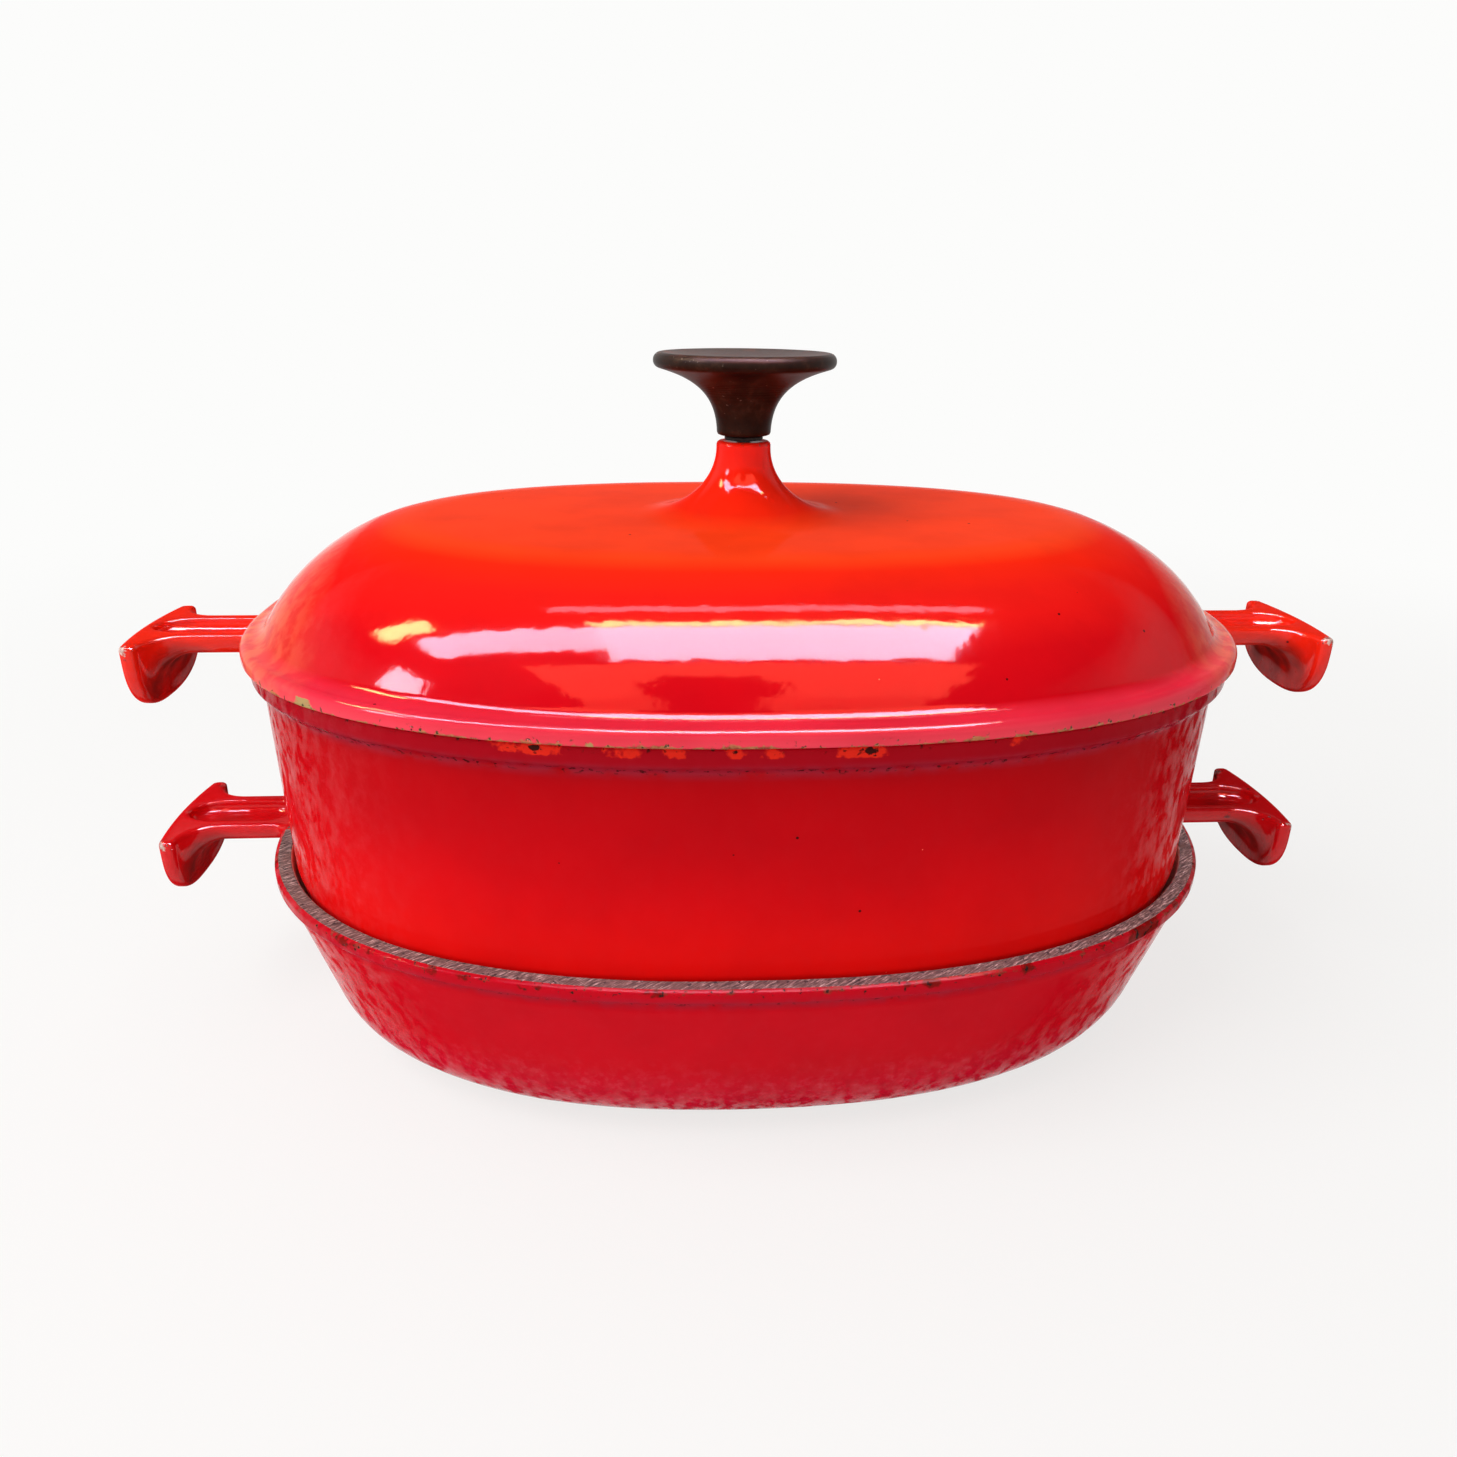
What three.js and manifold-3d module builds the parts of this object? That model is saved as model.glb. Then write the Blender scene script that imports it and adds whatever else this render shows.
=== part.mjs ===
// Oval dutch oven in enamelled cast iron: a deep pot with a domed lid, nested in a shallow serving dish.
// Millimetres, +Z up. The origin is the middle of the dish's flat base, and +X runs along the handles.

import * as THREE from 'three';
import { mergeVertices } from 'three/addons/utils/BufferGeometryUtils.js';
import Module from 'manifold-3d';

const wasm = await Module();
wasm.setup();

// The shared oval: the edge of the lid's flange and of the dish's rim, a superellipse.
const OVAL_HALF_LENGTH = 160;
const OVAL_HALF_WIDTH = 117;
const OVAL_EXPONENT = 2.35;
const OVAL_SEGMENTS = 48;
const ARC_STEPS = 6;
const COVE_STEPS = 3;
const FLARE_STEPS = 8;

// Castings and the gaps between pieces that touch.
const WALL = 4;
const FLOOR = 4.5;
const SEAT_GAP = 0.3;
const EDGE_ROUND = 0.9;

// Dish: a lipped rim over a wall that leans in to a large corner radius.
const DISH_HEIGHT = 68;
const DISH_RIM_WIDTH = 5.6;
const DISH_LIP_HEIGHT = 5.5;
const DISH_LIP_REACH = 3.1;
const DISH_DRAFT = THREE.MathUtils.degToRad(16.3);
const DISH_CORNER_RADIUS = 32;
const LIP_UNDERCUT_HEIGHT = 3.5;

// Pot: near-upright wall, drawn in below the dish's rim so that it nests on the dish's floor.
const POT_HEIGHT = 133.2;
const POT_LIP_SETBACK = 2;
const POT_LIP_HEIGHT = 7;
const POT_LIP_REACH = 3.2;
const NEST_CLEARANCE = 1;

// Lid: flat flange, concave foot, round shoulder, flat crown and a flared stem cast in one with it.
const LID_HEIGHT = 36.2;
const FLANGE_THICKNESS = 5;
const FLANGE_WIDTH = 8.5;
const DOME_FOOT_HEIGHT = 9;
const DOME_RADIUS = 57;
const LOCATING_RING_DEPTH = 5;
const LOCATING_RING_WIDTH = 3.5;
const LID_FIT_CLEARANCE = 1;
const STEM_HEIGHT = 23.4;
const STEM_TOP_RADIUS = 8.9;
const STEM_FOOT_RADIUS = 36;
const STEM_STRAIGHT = 2;
const STEM_RECESS_DEPTH = 10;
const STEM_RECESS_RADIUS = 24;
const STEM_SEAT_RADIUS = 9;

// Handles: a grooved shank that ends in a fish-tail bar with a hanging plate, hollowed for the fingers.
const HANDLE_REACH = 39.7;
const HANDLE_SPAN = 51;
const HANDLE_DROP = 25;
const POT_HANDLE_BELOW_RIM = 1;
const DISH_HANDLE_BELOW_RIM = 0.3;
const SHANK_WIDTH = 25;
const SHANK_THICKNESS = 7.5;
const SHANK_ROOT_THICKNESS = 10;
const ROOT_FILLET = 5;
const ROOT_SWEEP = 8;
const TAIL_FILLET = 11;
const TAIL_BOW = 2.2;
const TIP_THICKNESS = 5.5;
const TIP_ROUND = 2;
const PLATE_THICKNESS = 4.7;
const PLATE_SHOULDER = 5;
const FINGER_RADIUS = 11;
const GROOVE_WIDTH = 16;
const GROOVE_DEPTH = 4.4;
const GROOVE_START = 2;
const GROOVE_POINT_LENGTH = 11;
const GROOVE_END_WALL = 3.2;

// Knob: a turned mushroom with a dished top, held from below by a screw in a moulded-in insert.
const KNOB_RADIUS = 29;
const KNOB_HEIGHT = 25.2;
const KNOB_NECK_RADIUS = 8.7;
const KNOB_NECK_CHAMFER = 0.8;
const KNOB_WAIST_HEIGHT = 10.5;
const KNOB_FLARE_REACH = 13;
const KNOB_FLARE_DROP = 3.9;
const KNOB_EDGE_HEIGHT = 4.8;
const KNOB_TOP_DISH = 1.6;
const KNOB_TOP_BORDER = 3;
const SPACER_RADIUS = 6.2;
const SPACER_THICKNESS = 1.2;
const INSERT_RADIUS = 4.5;
const INSERT_LENGTH = 14;
const SCREW_RADIUS = 2.5;
const SCREW_HOLE_CLEARANCE = 0.5;
const SCREW_ENGAGEMENT = 11;
const SCREW_HEAD_RADIUS = 4.7;
const SCREW_HEAD_FLAT_RADIUS = 3.3;
const SCREW_HEAD_HEIGHT = 3.2;
const SCREW_WASHER_RADIUS = 7;
const SCREW_WASHER_THICKNESS = 1.2;
const LATHE_SEGMENTS = 32;

// Heights and places that follow from the sizes above.
const potBaseZ = FLOOR + SEAT_GAP;
const potRimZ = potBaseZ + POT_HEIGHT;
const seamZ = potRimZ + SEAT_GAP;
const crownZ = seamZ + LID_HEIGHT;
const stemTopZ = crownZ + STEM_HEIGHT;
const ceilingZ = crownZ - WALL;
const stemSeatZ = ceilingZ + STEM_RECESS_DEPTH;
const spacerZ = stemTopZ + SEAT_GAP;
const knobZ = spacerZ + SPACER_THICKNESS + SEAT_GAP;
const screwHoleRadius = SCREW_RADIUS + SCREW_HOLE_CLEARANCE;
const potWallInset = POT_LIP_SETBACK + POT_LIP_REACH;
const potInnerInset = potWallInset + WALL;
const dishWallTopZ = DISH_HEIGHT - DISH_LIP_HEIGHT - LIP_UNDERCUT_HEIGHT;
const sideThickness = WALL / Math.cos(DISH_DRAFT);
const sideClearance = NEST_CLEARANCE / Math.cos(DISH_DRAFT);

// A point on a superellipse of the given half sizes.
function ovalPoint(halfLength, halfWidth, angle) {
  const along = Math.cos(angle);
  const across = Math.sin(angle);
  const x = halfLength * Math.sign(along) * Math.abs(along) ** (2 / OVAL_EXPONENT);
  const y = halfWidth * Math.sign(across) * Math.abs(across) ** (2 / OVAL_EXPONENT);
  return [x, y];
}

// One ring of points on the oval, set in from its edge.
function ovalRing(inset, z) {
  const points = [];
  for (let i = 0; i < OVAL_SEGMENTS; i += 1) {
    const angle = (2 * Math.PI * i) / OVAL_SEGMENTS;
    const [x, y] = ovalPoint(OVAL_HALF_LENGTH - inset, OVAL_HALF_WIDTH - inset, angle);
    points.push(new THREE.Vector3(x, y, z));
  }
  return points;
}

// One ring of points on a circle, with as many points as the oval has.
function roundRing(radius, z) {
  const points = [];
  for (let i = 0; i < OVAL_SEGMENTS; i += 1) {
    const angle = (2 * Math.PI * i) / OVAL_SEGMENTS;
    points.push(new THREE.Vector3(radius * Math.cos(angle), radius * Math.sin(angle), z));
  }
  return points;
}

// Skins a row of rings. The first and last close on points of the axis, or on each other.
function loft(rings, closesOnItself) {
  const positions = rings.flat().flatMap((point) => point.toArray());
  const indices = [];
  const count = OVAL_SEGMENTS;
  const lastJoin = closesOnItself ? rings.length : rings.length - 1;
  for (let row = 0; row < lastJoin; row += 1) {
    const here = row * count;
    const there = ((row + 1) % rings.length) * count;
    for (let i = 0; i < count; i += 1) {
      const next = (i + 1) % count;
      indices.push(here + i, here + next, there + next);
      indices.push(here + i, there + next, there + i);
    }
  }
  if (!closesOnItself) {
    const top = (rings.length - 1) * count;
    const bottomCentre = positions.length / 3;
    positions.push(0, 0, rings[0][0].z);
    positions.push(0, 0, rings[rings.length - 1][0].z);
    for (let i = 0; i < count; i += 1) {
      const next = (i + 1) % count;
      indices.push(bottomCentre, next, i);
      indices.push(bottomCentre + 1, top + i, top + next);
    }
  }
  const geometry = new THREE.BufferGeometry();
  geometry.setAttribute('position', new THREE.Float32BufferAttribute(positions, 3));
  geometry.setIndex(indices);
  return geometry;
}

// Welds shared corners and drops the empty triangles that a revolve leaves on its axis.
function weld(source) {
  const geometry = source.clone();
  geometry.deleteAttribute('normal');
  geometry.deleteAttribute('uv');
  const welded = mergeVertices(geometry, 1e-4);
  const old = welded.index.array;
  const kept = [];
  for (let i = 0; i < old.length; i += 3) {
    const [a, b, c] = [old[i], old[i + 1], old[i + 2]];
    if (a !== b && b !== c && c !== a) kept.push(a, b, c);
  }
  welded.setIndex(kept);
  return welded;
}

function solidOf(geometry) {
  const welded = weld(geometry);
  return new wasm.Manifold(new wasm.Mesh({
    numProp: 3,
    vertProperties: new Float32Array(welded.attributes.position.array),
    triVerts: new Uint32Array(welded.index.array),
  }));
}

function geometryOf(solid) {
  const mesh = solid.getMesh();
  const geometry = new THREE.BufferGeometry();
  geometry.setAttribute('position', new THREE.Float32BufferAttribute(mesh.vertProperties, 3));
  geometry.setIndex(Array.from(mesh.triVerts));
  return geometry;
}

// Points of an arc in the plane of a profile, its first and last point included.
function arcPoints(centreX, centreZ, radius, from, to) {
  const points = [];
  for (let i = 0; i <= ARC_STEPS; i += 1) {
    const angle = from + ((to - from) * i) / ARC_STEPS;
    points.push([centreX + radius * Math.cos(angle), centreZ + radius * Math.sin(angle)]);
  }
  return points;
}

// A concave quarter of an ellipse that leaves its first point level and meets its last one upright.
function cove([fromX, fromZ], [toX, toZ], steps) {
  const points = [];
  for (let i = 0; i <= steps; i += 1) {
    const angle = (Math.PI / 2) * (i / steps);
    const x = fromX + (toX - fromX) * Math.sin(angle);
    const z = fromZ + (toZ - fromZ) * (1 - Math.cos(angle));
    points.push([x, z]);
  }
  return points;
}

// A leaning wall with a round corner, from its base up, as [inset, z] points.
function leaningWall(topInset, topZ, baseZ, radius) {
  const centreZ = baseZ + radius;
  const joinZ = centreZ - radius * Math.sin(DISH_DRAFT);
  const joinInset = topInset + (topZ - joinZ) * Math.tan(DISH_DRAFT);
  const centreInset = joinInset + radius * Math.cos(DISH_DRAFT);
  const corner = arcPoints(centreInset, centreZ, radius, -Math.PI / 2, DISH_DRAFT - Math.PI);
  return [...corner, [topInset, topZ]];
}

// The lip of a rim: concave undercut, upright edge and rounded corner, as [inset, z] points.
function lip(edgeInset, reach, rimZ, height) {
  const edgeBaseZ = rimZ - height;
  const wallPoint = [edgeInset + reach, edgeBaseZ - LIP_UNDERCUT_HEIGHT];
  const undercut = cove([edgeInset, edgeBaseZ], wallPoint, COVE_STEPS).reverse();
  return [...undercut.slice(1), [edgeInset, rimZ - EDGE_ROUND], [edgeInset + EDGE_ROUND, rimZ]];
}

// Outline of the handle seen from above: shank, concave fillets, tips and a bowed outer edge.
function handlePlan(rootX, wallX, outerX) {
  const half = SHANK_WIDTH / 2;
  const tipY = HANDLE_SPAN / 2;
  const tipOuterX = outerX - TAIL_BOW;
  const tipInnerX = tipOuterX - TIP_THICKNESS;
  const rootHalf = half + ROOT_FILLET;
  const filletX = wallX + ROOT_FILLET;
  const tailX = tipInnerX - TAIL_FILLET;
  const shape = new THREE.Shape();
  shape.moveTo(rootX, -rootHalf);
  shape.lineTo(wallX, -rootHalf);
  shape.absarc(filletX, -rootHalf, ROOT_FILLET, Math.PI, Math.PI / 2, true);
  shape.absarc(tailX, -half - TAIL_FILLET, TAIL_FILLET, Math.PI / 2, 0, true);
  shape.lineTo(tipInnerX, -tipY + TIP_ROUND);
  shape.quadraticCurveTo(tipInnerX, -tipY, tipInnerX + TIP_ROUND, -tipY);
  shape.quadraticCurveTo(tipOuterX, -tipY, tipOuterX, -tipY + TIP_ROUND);
  shape.quadraticCurveTo(outerX + TAIL_BOW, 0, tipOuterX, tipY - TIP_ROUND);
  shape.quadraticCurveTo(tipOuterX, tipY, tipInnerX + TIP_ROUND, tipY);
  shape.quadraticCurveTo(tipInnerX, tipY, tipInnerX, tipY - TIP_ROUND);
  shape.absarc(tailX, half + TAIL_FILLET, TAIL_FILLET, 0, -Math.PI / 2, true);
  shape.absarc(filletX, rootHalf, ROOT_FILLET, -Math.PI / 2, -Math.PI, true);
  shape.lineTo(rootX, rootHalf);
  return shape;
}

// Outline of the handle seen from the side: flat top, hanging plate and the hollow for the fingers.
function handleSide(rootX, wallX, outerX) {
  const plateX = outerX - TAIL_BOW - PLATE_THICKNESS;
  const shape = new THREE.Shape();
  shape.moveTo(rootX, 0);
  shape.lineTo(rootX, -SHANK_ROOT_THICKNESS);
  shape.lineTo(wallX, -SHANK_ROOT_THICKNESS);
  shape.quadraticCurveTo(wallX + ROOT_SWEEP / 2, -SHANK_THICKNESS, wallX + ROOT_SWEEP, -SHANK_THICKNESS);
  const hollowZ = -SHANK_THICKNESS - FINGER_RADIUS;
  shape.absarc(plateX - FINGER_RADIUS, hollowZ, FINGER_RADIUS, Math.PI / 2, 0, true);
  shape.lineTo(plateX, -HANDLE_DROP);
  shape.lineTo(outerX, -HANDLE_DROP);
  shape.lineTo(outerX, 0);
  return shape;
}

// Outline of the hanging plate seen along the handle: upright shoulders over half an oval.
function handleEnd() {
  const half = HANDLE_SPAN / 2;
  const hang = HANDLE_DROP - PLATE_SHOULDER;
  const steps = 2 * ARC_STEPS;
  const shape = new THREE.Shape();
  shape.moveTo(-half, SEAT_GAP);
  for (let i = 0; i <= steps; i += 1) {
    const [across, height] = ovalPoint(half, hang, Math.PI + (Math.PI * i) / steps);
    shape.lineTo(across, height - PLATE_SHOULDER);
  }
  shape.lineTo(half, SEAT_GAP);
  return shape;
}

// Outline of the groove in the shank's top, with a pointed outer end, from above.
function groovePlan(startX, endX) {
  const half = GROOVE_WIDTH / 2;
  const shape = new THREE.Shape();
  shape.moveTo(startX, -half);
  const pointX = endX - GROOVE_POINT_LENGTH;
  const bendX = endX - GROOVE_POINT_LENGTH / 4;
  shape.lineTo(pointX, -half);
  shape.quadraticCurveTo(bendX, -half, endX, 0);
  shape.quadraticCurveTo(bendX, half, pointX, half);
  shape.lineTo(startX, half);
  return shape;
}

// An extrusion from one height to another.
function prism(shape, fromZ, toZ) {
  const geometry = new THREE.ExtrudeGeometry(shape, {
    depth: toZ - fromZ, bevelEnabled: false, curveSegments: ARC_STEPS,
  });
  return geometry.translate(0, 0, fromZ);
}

// The handle at the +X end of a casting whose wall is set in by wallInset below its lip.
function handleSolid(topZ, wallInset, lipInset) {
  const rootX = OVAL_HALF_LENGTH - wallInset - WALL / 2;
  const wallX = OVAL_HALF_LENGTH - lipInset;
  const outerX = OVAL_HALF_LENGTH + HANDLE_REACH;
  const half = HANDLE_SPAN / 2;
  const sideToWorld = new THREE.Matrix4().makeRotationX(Math.PI / 2);
  const endToWorld = new THREE.Matrix4().makeBasis(
    new THREE.Vector3(0, 1, 0), new THREE.Vector3(0, 0, 1), new THREE.Vector3(1, 0, 0));
  const plan = solidOf(prism(handlePlan(rootX, wallX, outerX), -HANDLE_DROP, 0));
  const side = solidOf(prism(handleSide(rootX, wallX, outerX), -half, half).applyMatrix4(sideToWorld));
  const end = solidOf(prism(handleEnd(), rootX, outerX).applyMatrix4(endToWorld));
  const groovePath = groovePlan(wallX + GROOVE_START, outerX - GROOVE_END_WALL);
  const groove = solidOf(prism(groovePath, -GROOVE_DEPTH, SEAT_GAP));
  const body = plan.intersect(side).intersect(end).subtract(groove);
  return body.translate([0, 0, topZ]);
}

// Joins a handle to each end of a shell.
function withHandles(shell, handle) {
  return geometryOf(solidOf(shell).add(handle).add(handle.rotate([0, 0, 180])));
}

function ovalRings(profile) {
  return profile.map(([inset, z]) => ovalRing(inset, z));
}

function dishGeometry() {
  const outer = leaningWall(DISH_LIP_REACH, dishWallTopZ, 0, DISH_CORNER_RADIUS);
  const innerTop = DISH_LIP_REACH + sideThickness;
  const inner = leaningWall(innerTop, dishWallTopZ, FLOOR, DISH_CORNER_RADIUS - WALL);
  const rim = [
    [DISH_RIM_WIDTH - EDGE_ROUND, DISH_HEIGHT],
    [DISH_RIM_WIDTH, DISH_HEIGHT - EDGE_ROUND],
  ];
  const edge = lip(0, DISH_LIP_REACH, DISH_HEIGHT, DISH_LIP_HEIGHT);
  const shell = loft(ovalRings([...outer, ...edge, ...rim, ...inner.reverse()]), false);
  return withHandles(shell, handleSolid(DISH_HEIGHT - DISH_HANDLE_BELOW_RIM, DISH_LIP_REACH, 0));
}

function potGeometry() {
  const nestInset = DISH_LIP_REACH + sideThickness + sideClearance;
  const cornerRadius = DISH_CORNER_RADIUS - WALL;
  const outer = leaningWall(nestInset, dishWallTopZ, potBaseZ, cornerRadius);
  const innerTop = nestInset + sideThickness;
  const inner = leaningWall(innerTop, dishWallTopZ, potBaseZ + FLOOR, cornerRadius - WALL);
  const shoulderInset = DISH_RIM_WIDTH + NEST_CLEARANCE;
  const wallTopZ = potRimZ - POT_LIP_HEIGHT - LIP_UNDERCUT_HEIGHT;
  const profile = [
    ...outer,
    [shoulderInset, DISH_HEIGHT],
    [potWallInset, wallTopZ],
    ...lip(POT_LIP_SETBACK, POT_LIP_REACH, potRimZ, POT_LIP_HEIGHT),
    [potInnerInset - EDGE_ROUND, potRimZ],
    [potInnerInset, potRimZ - EDGE_ROUND],
    [shoulderInset + WALL, DISH_HEIGHT],
    ...inner.reverse(),
  ];
  const shell = loft(ovalRings(profile), false);
  const handleTopZ = potRimZ - POT_HANDLE_BELOW_RIM;
  return withHandles(shell, handleSolid(handleTopZ, potWallInset, POT_LIP_SETBACK));
}

function lidGeometry() {
  const shoulderZ = crownZ - DOME_RADIUS;
  const footSine = (seamZ + DOME_FOOT_HEIGHT - shoulderZ) / DOME_RADIUS;
  const crownInset = FLANGE_WIDTH + DOME_RADIUS * Math.sqrt(1 - footSine ** 2);
  const footAngle = Math.PI - Math.asin(footSine);
  const flangeTopZ = seamZ + FLANGE_THICKNESS;
  const ringOuter = potInnerInset + LID_FIT_CLEARANCE;
  const ringInner = ringOuter + LOCATING_RING_WIDTH;
  const innerRadius = DOME_RADIUS - WALL;
  const innerAngle = Math.PI - Math.acos((crownInset - ringInner) / innerRadius);
  const foot = cove([EDGE_ROUND, flangeTopZ], [FLANGE_WIDTH, seamZ + DOME_FOOT_HEIGHT], COVE_STEPS);
  const outside = [
    [EDGE_ROUND, seamZ],
    [0, seamZ + EDGE_ROUND],
    [0, flangeTopZ - EDGE_ROUND],
    ...foot.slice(0, -1),
    ...arcPoints(crownInset, shoulderZ, DOME_RADIUS, footAngle, Math.PI / 2),
  ];
  const stem = [
    ...cove([STEM_FOOT_RADIUS, crownZ], [STEM_TOP_RADIUS, stemTopZ - STEM_STRAIGHT], ARC_STEPS),
    [STEM_TOP_RADIUS, stemTopZ - EDGE_ROUND],
    [STEM_TOP_RADIUS - EDGE_ROUND, stemTopZ],
  ];
  const bore = [[screwHoleRadius, stemTopZ], [screwHoleRadius, stemSeatZ]];
  const recess = cove([STEM_RECESS_RADIUS, ceilingZ], [STEM_SEAT_RADIUS, stemSeatZ], COVE_STEPS).reverse();
  const inside = arcPoints(crownInset, shoulderZ, innerRadius, Math.PI / 2, innerAngle);
  const underside = [
    [ringInner, seamZ - LOCATING_RING_DEPTH],
    [ringOuter, seamZ - LOCATING_RING_DEPTH],
    [ringOuter, seamZ],
  ];
  const rounds = [...stem, ...bore, ...recess].map(([radius, z]) => roundRing(radius, z));
  return loft([...ovalRings(outside), ...rounds, ...ovalRings([...inside, ...underside])], true);
}

// A body of revolution about +Z, from [radius, z] points that run up its outside.
function revolve(profile) {
  const points = profile.map(([radius, z]) => new THREE.Vector2(radius, z));
  return weld(new THREE.LatheGeometry(points, LATHE_SEGMENTS).rotateX(Math.PI / 2));
}

function ringGeometry(innerRadius, outerRadius, baseZ, height) {
  return revolve([
    [innerRadius, baseZ], [outerRadius, baseZ], [outerRadius, baseZ + height],
    [innerRadius, baseZ + height], [innerRadius, baseZ],
  ]);
}

function knobGeometry() {
  const boreRadius = INSERT_RADIUS + SEAT_GAP;
  const boreTopZ = knobZ + INSERT_LENGTH + SEAT_GAP;
  const topZ = knobZ + KNOB_HEIGHT;
  const edgeZ = topZ - KNOB_EDGE_HEIGHT;
  const edgeRound = KNOB_EDGE_HEIGHT / 2;
  const rimFootX = KNOB_RADIUS - edgeRound;
  const flare = new THREE.CubicBezierCurve(
    new THREE.Vector2(KNOB_NECK_RADIUS, knobZ + KNOB_NECK_CHAMFER),
    new THREE.Vector2(KNOB_NECK_RADIUS, knobZ + KNOB_WAIST_HEIGHT),
    new THREE.Vector2(rimFootX - KNOB_FLARE_REACH, edgeZ - KNOB_FLARE_DROP),
    new THREE.Vector2(rimFootX, edgeZ));
  const profile = [
    [0, boreTopZ],
    [boreRadius, boreTopZ],
    [boreRadius, knobZ],
    [KNOB_NECK_RADIUS - KNOB_NECK_CHAMFER, knobZ],
    ...flare.getPoints(FLARE_STEPS).map((point) => point.toArray()),
  ];
  const rim = arcPoints(rimFootX, edgeZ + edgeRound, edgeRound, -Math.PI / 2, Math.PI / 2);
  profile.push(...rim.slice(1));
  profile.push([rimFootX - KNOB_TOP_BORDER, topZ - KNOB_TOP_DISH / 2]);
  profile.push([0, topZ - KNOB_TOP_DISH]);
  return revolve(profile);
}

function screwGeometry() {
  const washerZ = stemSeatZ - SEAT_GAP - SCREW_WASHER_THICKNESS;
  const headTopZ = washerZ - SEAT_GAP;
  const headZ = headTopZ - SCREW_HEAD_HEIGHT;
  const tipZ = knobZ + SCREW_ENGAGEMENT;
  return revolve([
    [0, headZ], [SCREW_HEAD_FLAT_RADIUS, headZ], [SCREW_HEAD_RADIUS, headZ + SCREW_HEAD_HEIGHT / 2],
    [SCREW_HEAD_RADIUS, headTopZ], [SCREW_RADIUS, headTopZ], [SCREW_RADIUS, tipZ], [0, tipZ],
  ]);
}

function screwWasherGeometry() {
  const baseZ = stemSeatZ - SEAT_GAP - SCREW_WASHER_THICKNESS;
  return ringGeometry(screwHoleRadius, SCREW_WASHER_RADIUS, baseZ, SCREW_WASHER_THICKNESS);
}

const redEnamel = new THREE.MeshStandardMaterial({ color: 0xd0141a, roughness: 0.15, metalness: 0 });
const phenolic = new THREE.MeshStandardMaterial({ color: 0x241c1a, roughness: 0.42, metalness: 0 });
const fibre = new THREE.MeshStandardMaterial({ color: 0x1a1716, roughness: 0.7, metalness: 0 });
const brass = new THREE.MeshStandardMaterial({ color: 0xb5873c, roughness: 0.35, metalness: 1 });
const steel = new THREE.MeshStandardMaterial({ color: 0x9a9a98, roughness: 0.35, metalness: 1 });

const dutchOven = new THREE.Group();

function addPiece(name, geometry, material) {
  const mesh = new THREE.Mesh(geometry, material);
  mesh.name = name;
  dutchOven.add(mesh);
}

addPiece('dish', dishGeometry(), redEnamel);
addPiece('pot', potGeometry(), redEnamel);
addPiece('lid', lidGeometry(), redEnamel);
addPiece('spacer_washer', ringGeometry(screwHoleRadius, SPACER_RADIUS, spacerZ, SPACER_THICKNESS), fibre);
addPiece('knob', knobGeometry(), phenolic);
addPiece('knob_insert', ringGeometry(SCREW_RADIUS + SEAT_GAP, INSERT_RADIUS, knobZ, INSERT_LENGTH), brass);
addPiece('knob_screw', screwGeometry(), steel);
addPiece('screw_washer', screwWasherGeometry(), steel);

export default dutchOven;
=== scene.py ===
"""Looks of an oval dutch oven: red enamel on cast iron, a phenolic knob, and a serving dish below."""

import math
from collections import namedtuple

import bpy
import numpy as np
from mathutils import Matrix, Vector


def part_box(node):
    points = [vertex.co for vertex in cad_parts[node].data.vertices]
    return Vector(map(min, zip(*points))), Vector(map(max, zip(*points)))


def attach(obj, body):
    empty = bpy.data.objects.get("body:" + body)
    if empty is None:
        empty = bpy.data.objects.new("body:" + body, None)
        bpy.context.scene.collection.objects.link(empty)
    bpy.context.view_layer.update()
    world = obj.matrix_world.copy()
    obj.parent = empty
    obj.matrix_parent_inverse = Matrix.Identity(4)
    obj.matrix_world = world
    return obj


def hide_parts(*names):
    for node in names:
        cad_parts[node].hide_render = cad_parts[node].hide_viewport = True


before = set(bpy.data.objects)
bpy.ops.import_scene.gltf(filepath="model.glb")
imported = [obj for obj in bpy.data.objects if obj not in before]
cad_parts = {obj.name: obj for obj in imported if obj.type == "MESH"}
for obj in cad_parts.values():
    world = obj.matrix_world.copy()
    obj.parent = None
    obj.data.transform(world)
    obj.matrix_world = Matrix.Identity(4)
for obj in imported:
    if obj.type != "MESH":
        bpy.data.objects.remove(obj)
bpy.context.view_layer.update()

# The pieces' lengths are in millimetres, and those of the stage in metres. Meshes are written in metres.
MM = 0.001


def box_mm(node):
    """Lowest and highest corner of a CAD node in millimetres."""
    low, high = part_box(node)
    return np.array(low) / MM, np.array(high) / MM


LID_LOW, LID_HIGH = box_mm("lid")
POT_LOW, POT_HIGH = box_mm("pot")
DISH_HIGH = box_mm("dish")[1]
KNOB_LOW, KNOB_HIGH = box_mm("knob")
INSERT_HIGH = box_mm("knob_insert")[1]
SCREW_LOW, SCREW_HIGH = box_mm("knob_screw")

# The oval that the castings share, and their walls.
HALF_LENGTH = LID_HIGH[0]
HALF_WIDTH = LID_HIGH[1]
OVAL_EXPONENT = 2.35
OVAL_SEGMENTS = 360
WALL = 4.0
FLOOR = 4.5
DRAFT = math.radians(16.3)
CORNER_RADIUS = 32.0
SIDE_THICKNESS = WALL / math.cos(DRAFT)
FLAT_FLOOR_INSET = 60.0
WAVE_SIZE = 28.0

# Dish.
DISH_RIM_Z = DISH_HIGH[2]
DISH_LIP_REACH = 3.1
DISH_LIP_HEIGHT = 5.6
DISH_RIM_WIDTH = 5.6
DISH_WALL_BELOW_RIM = 9.0
DISH_WALL_TOP_Z = DISH_RIM_Z - DISH_WALL_BELOW_RIM

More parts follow.
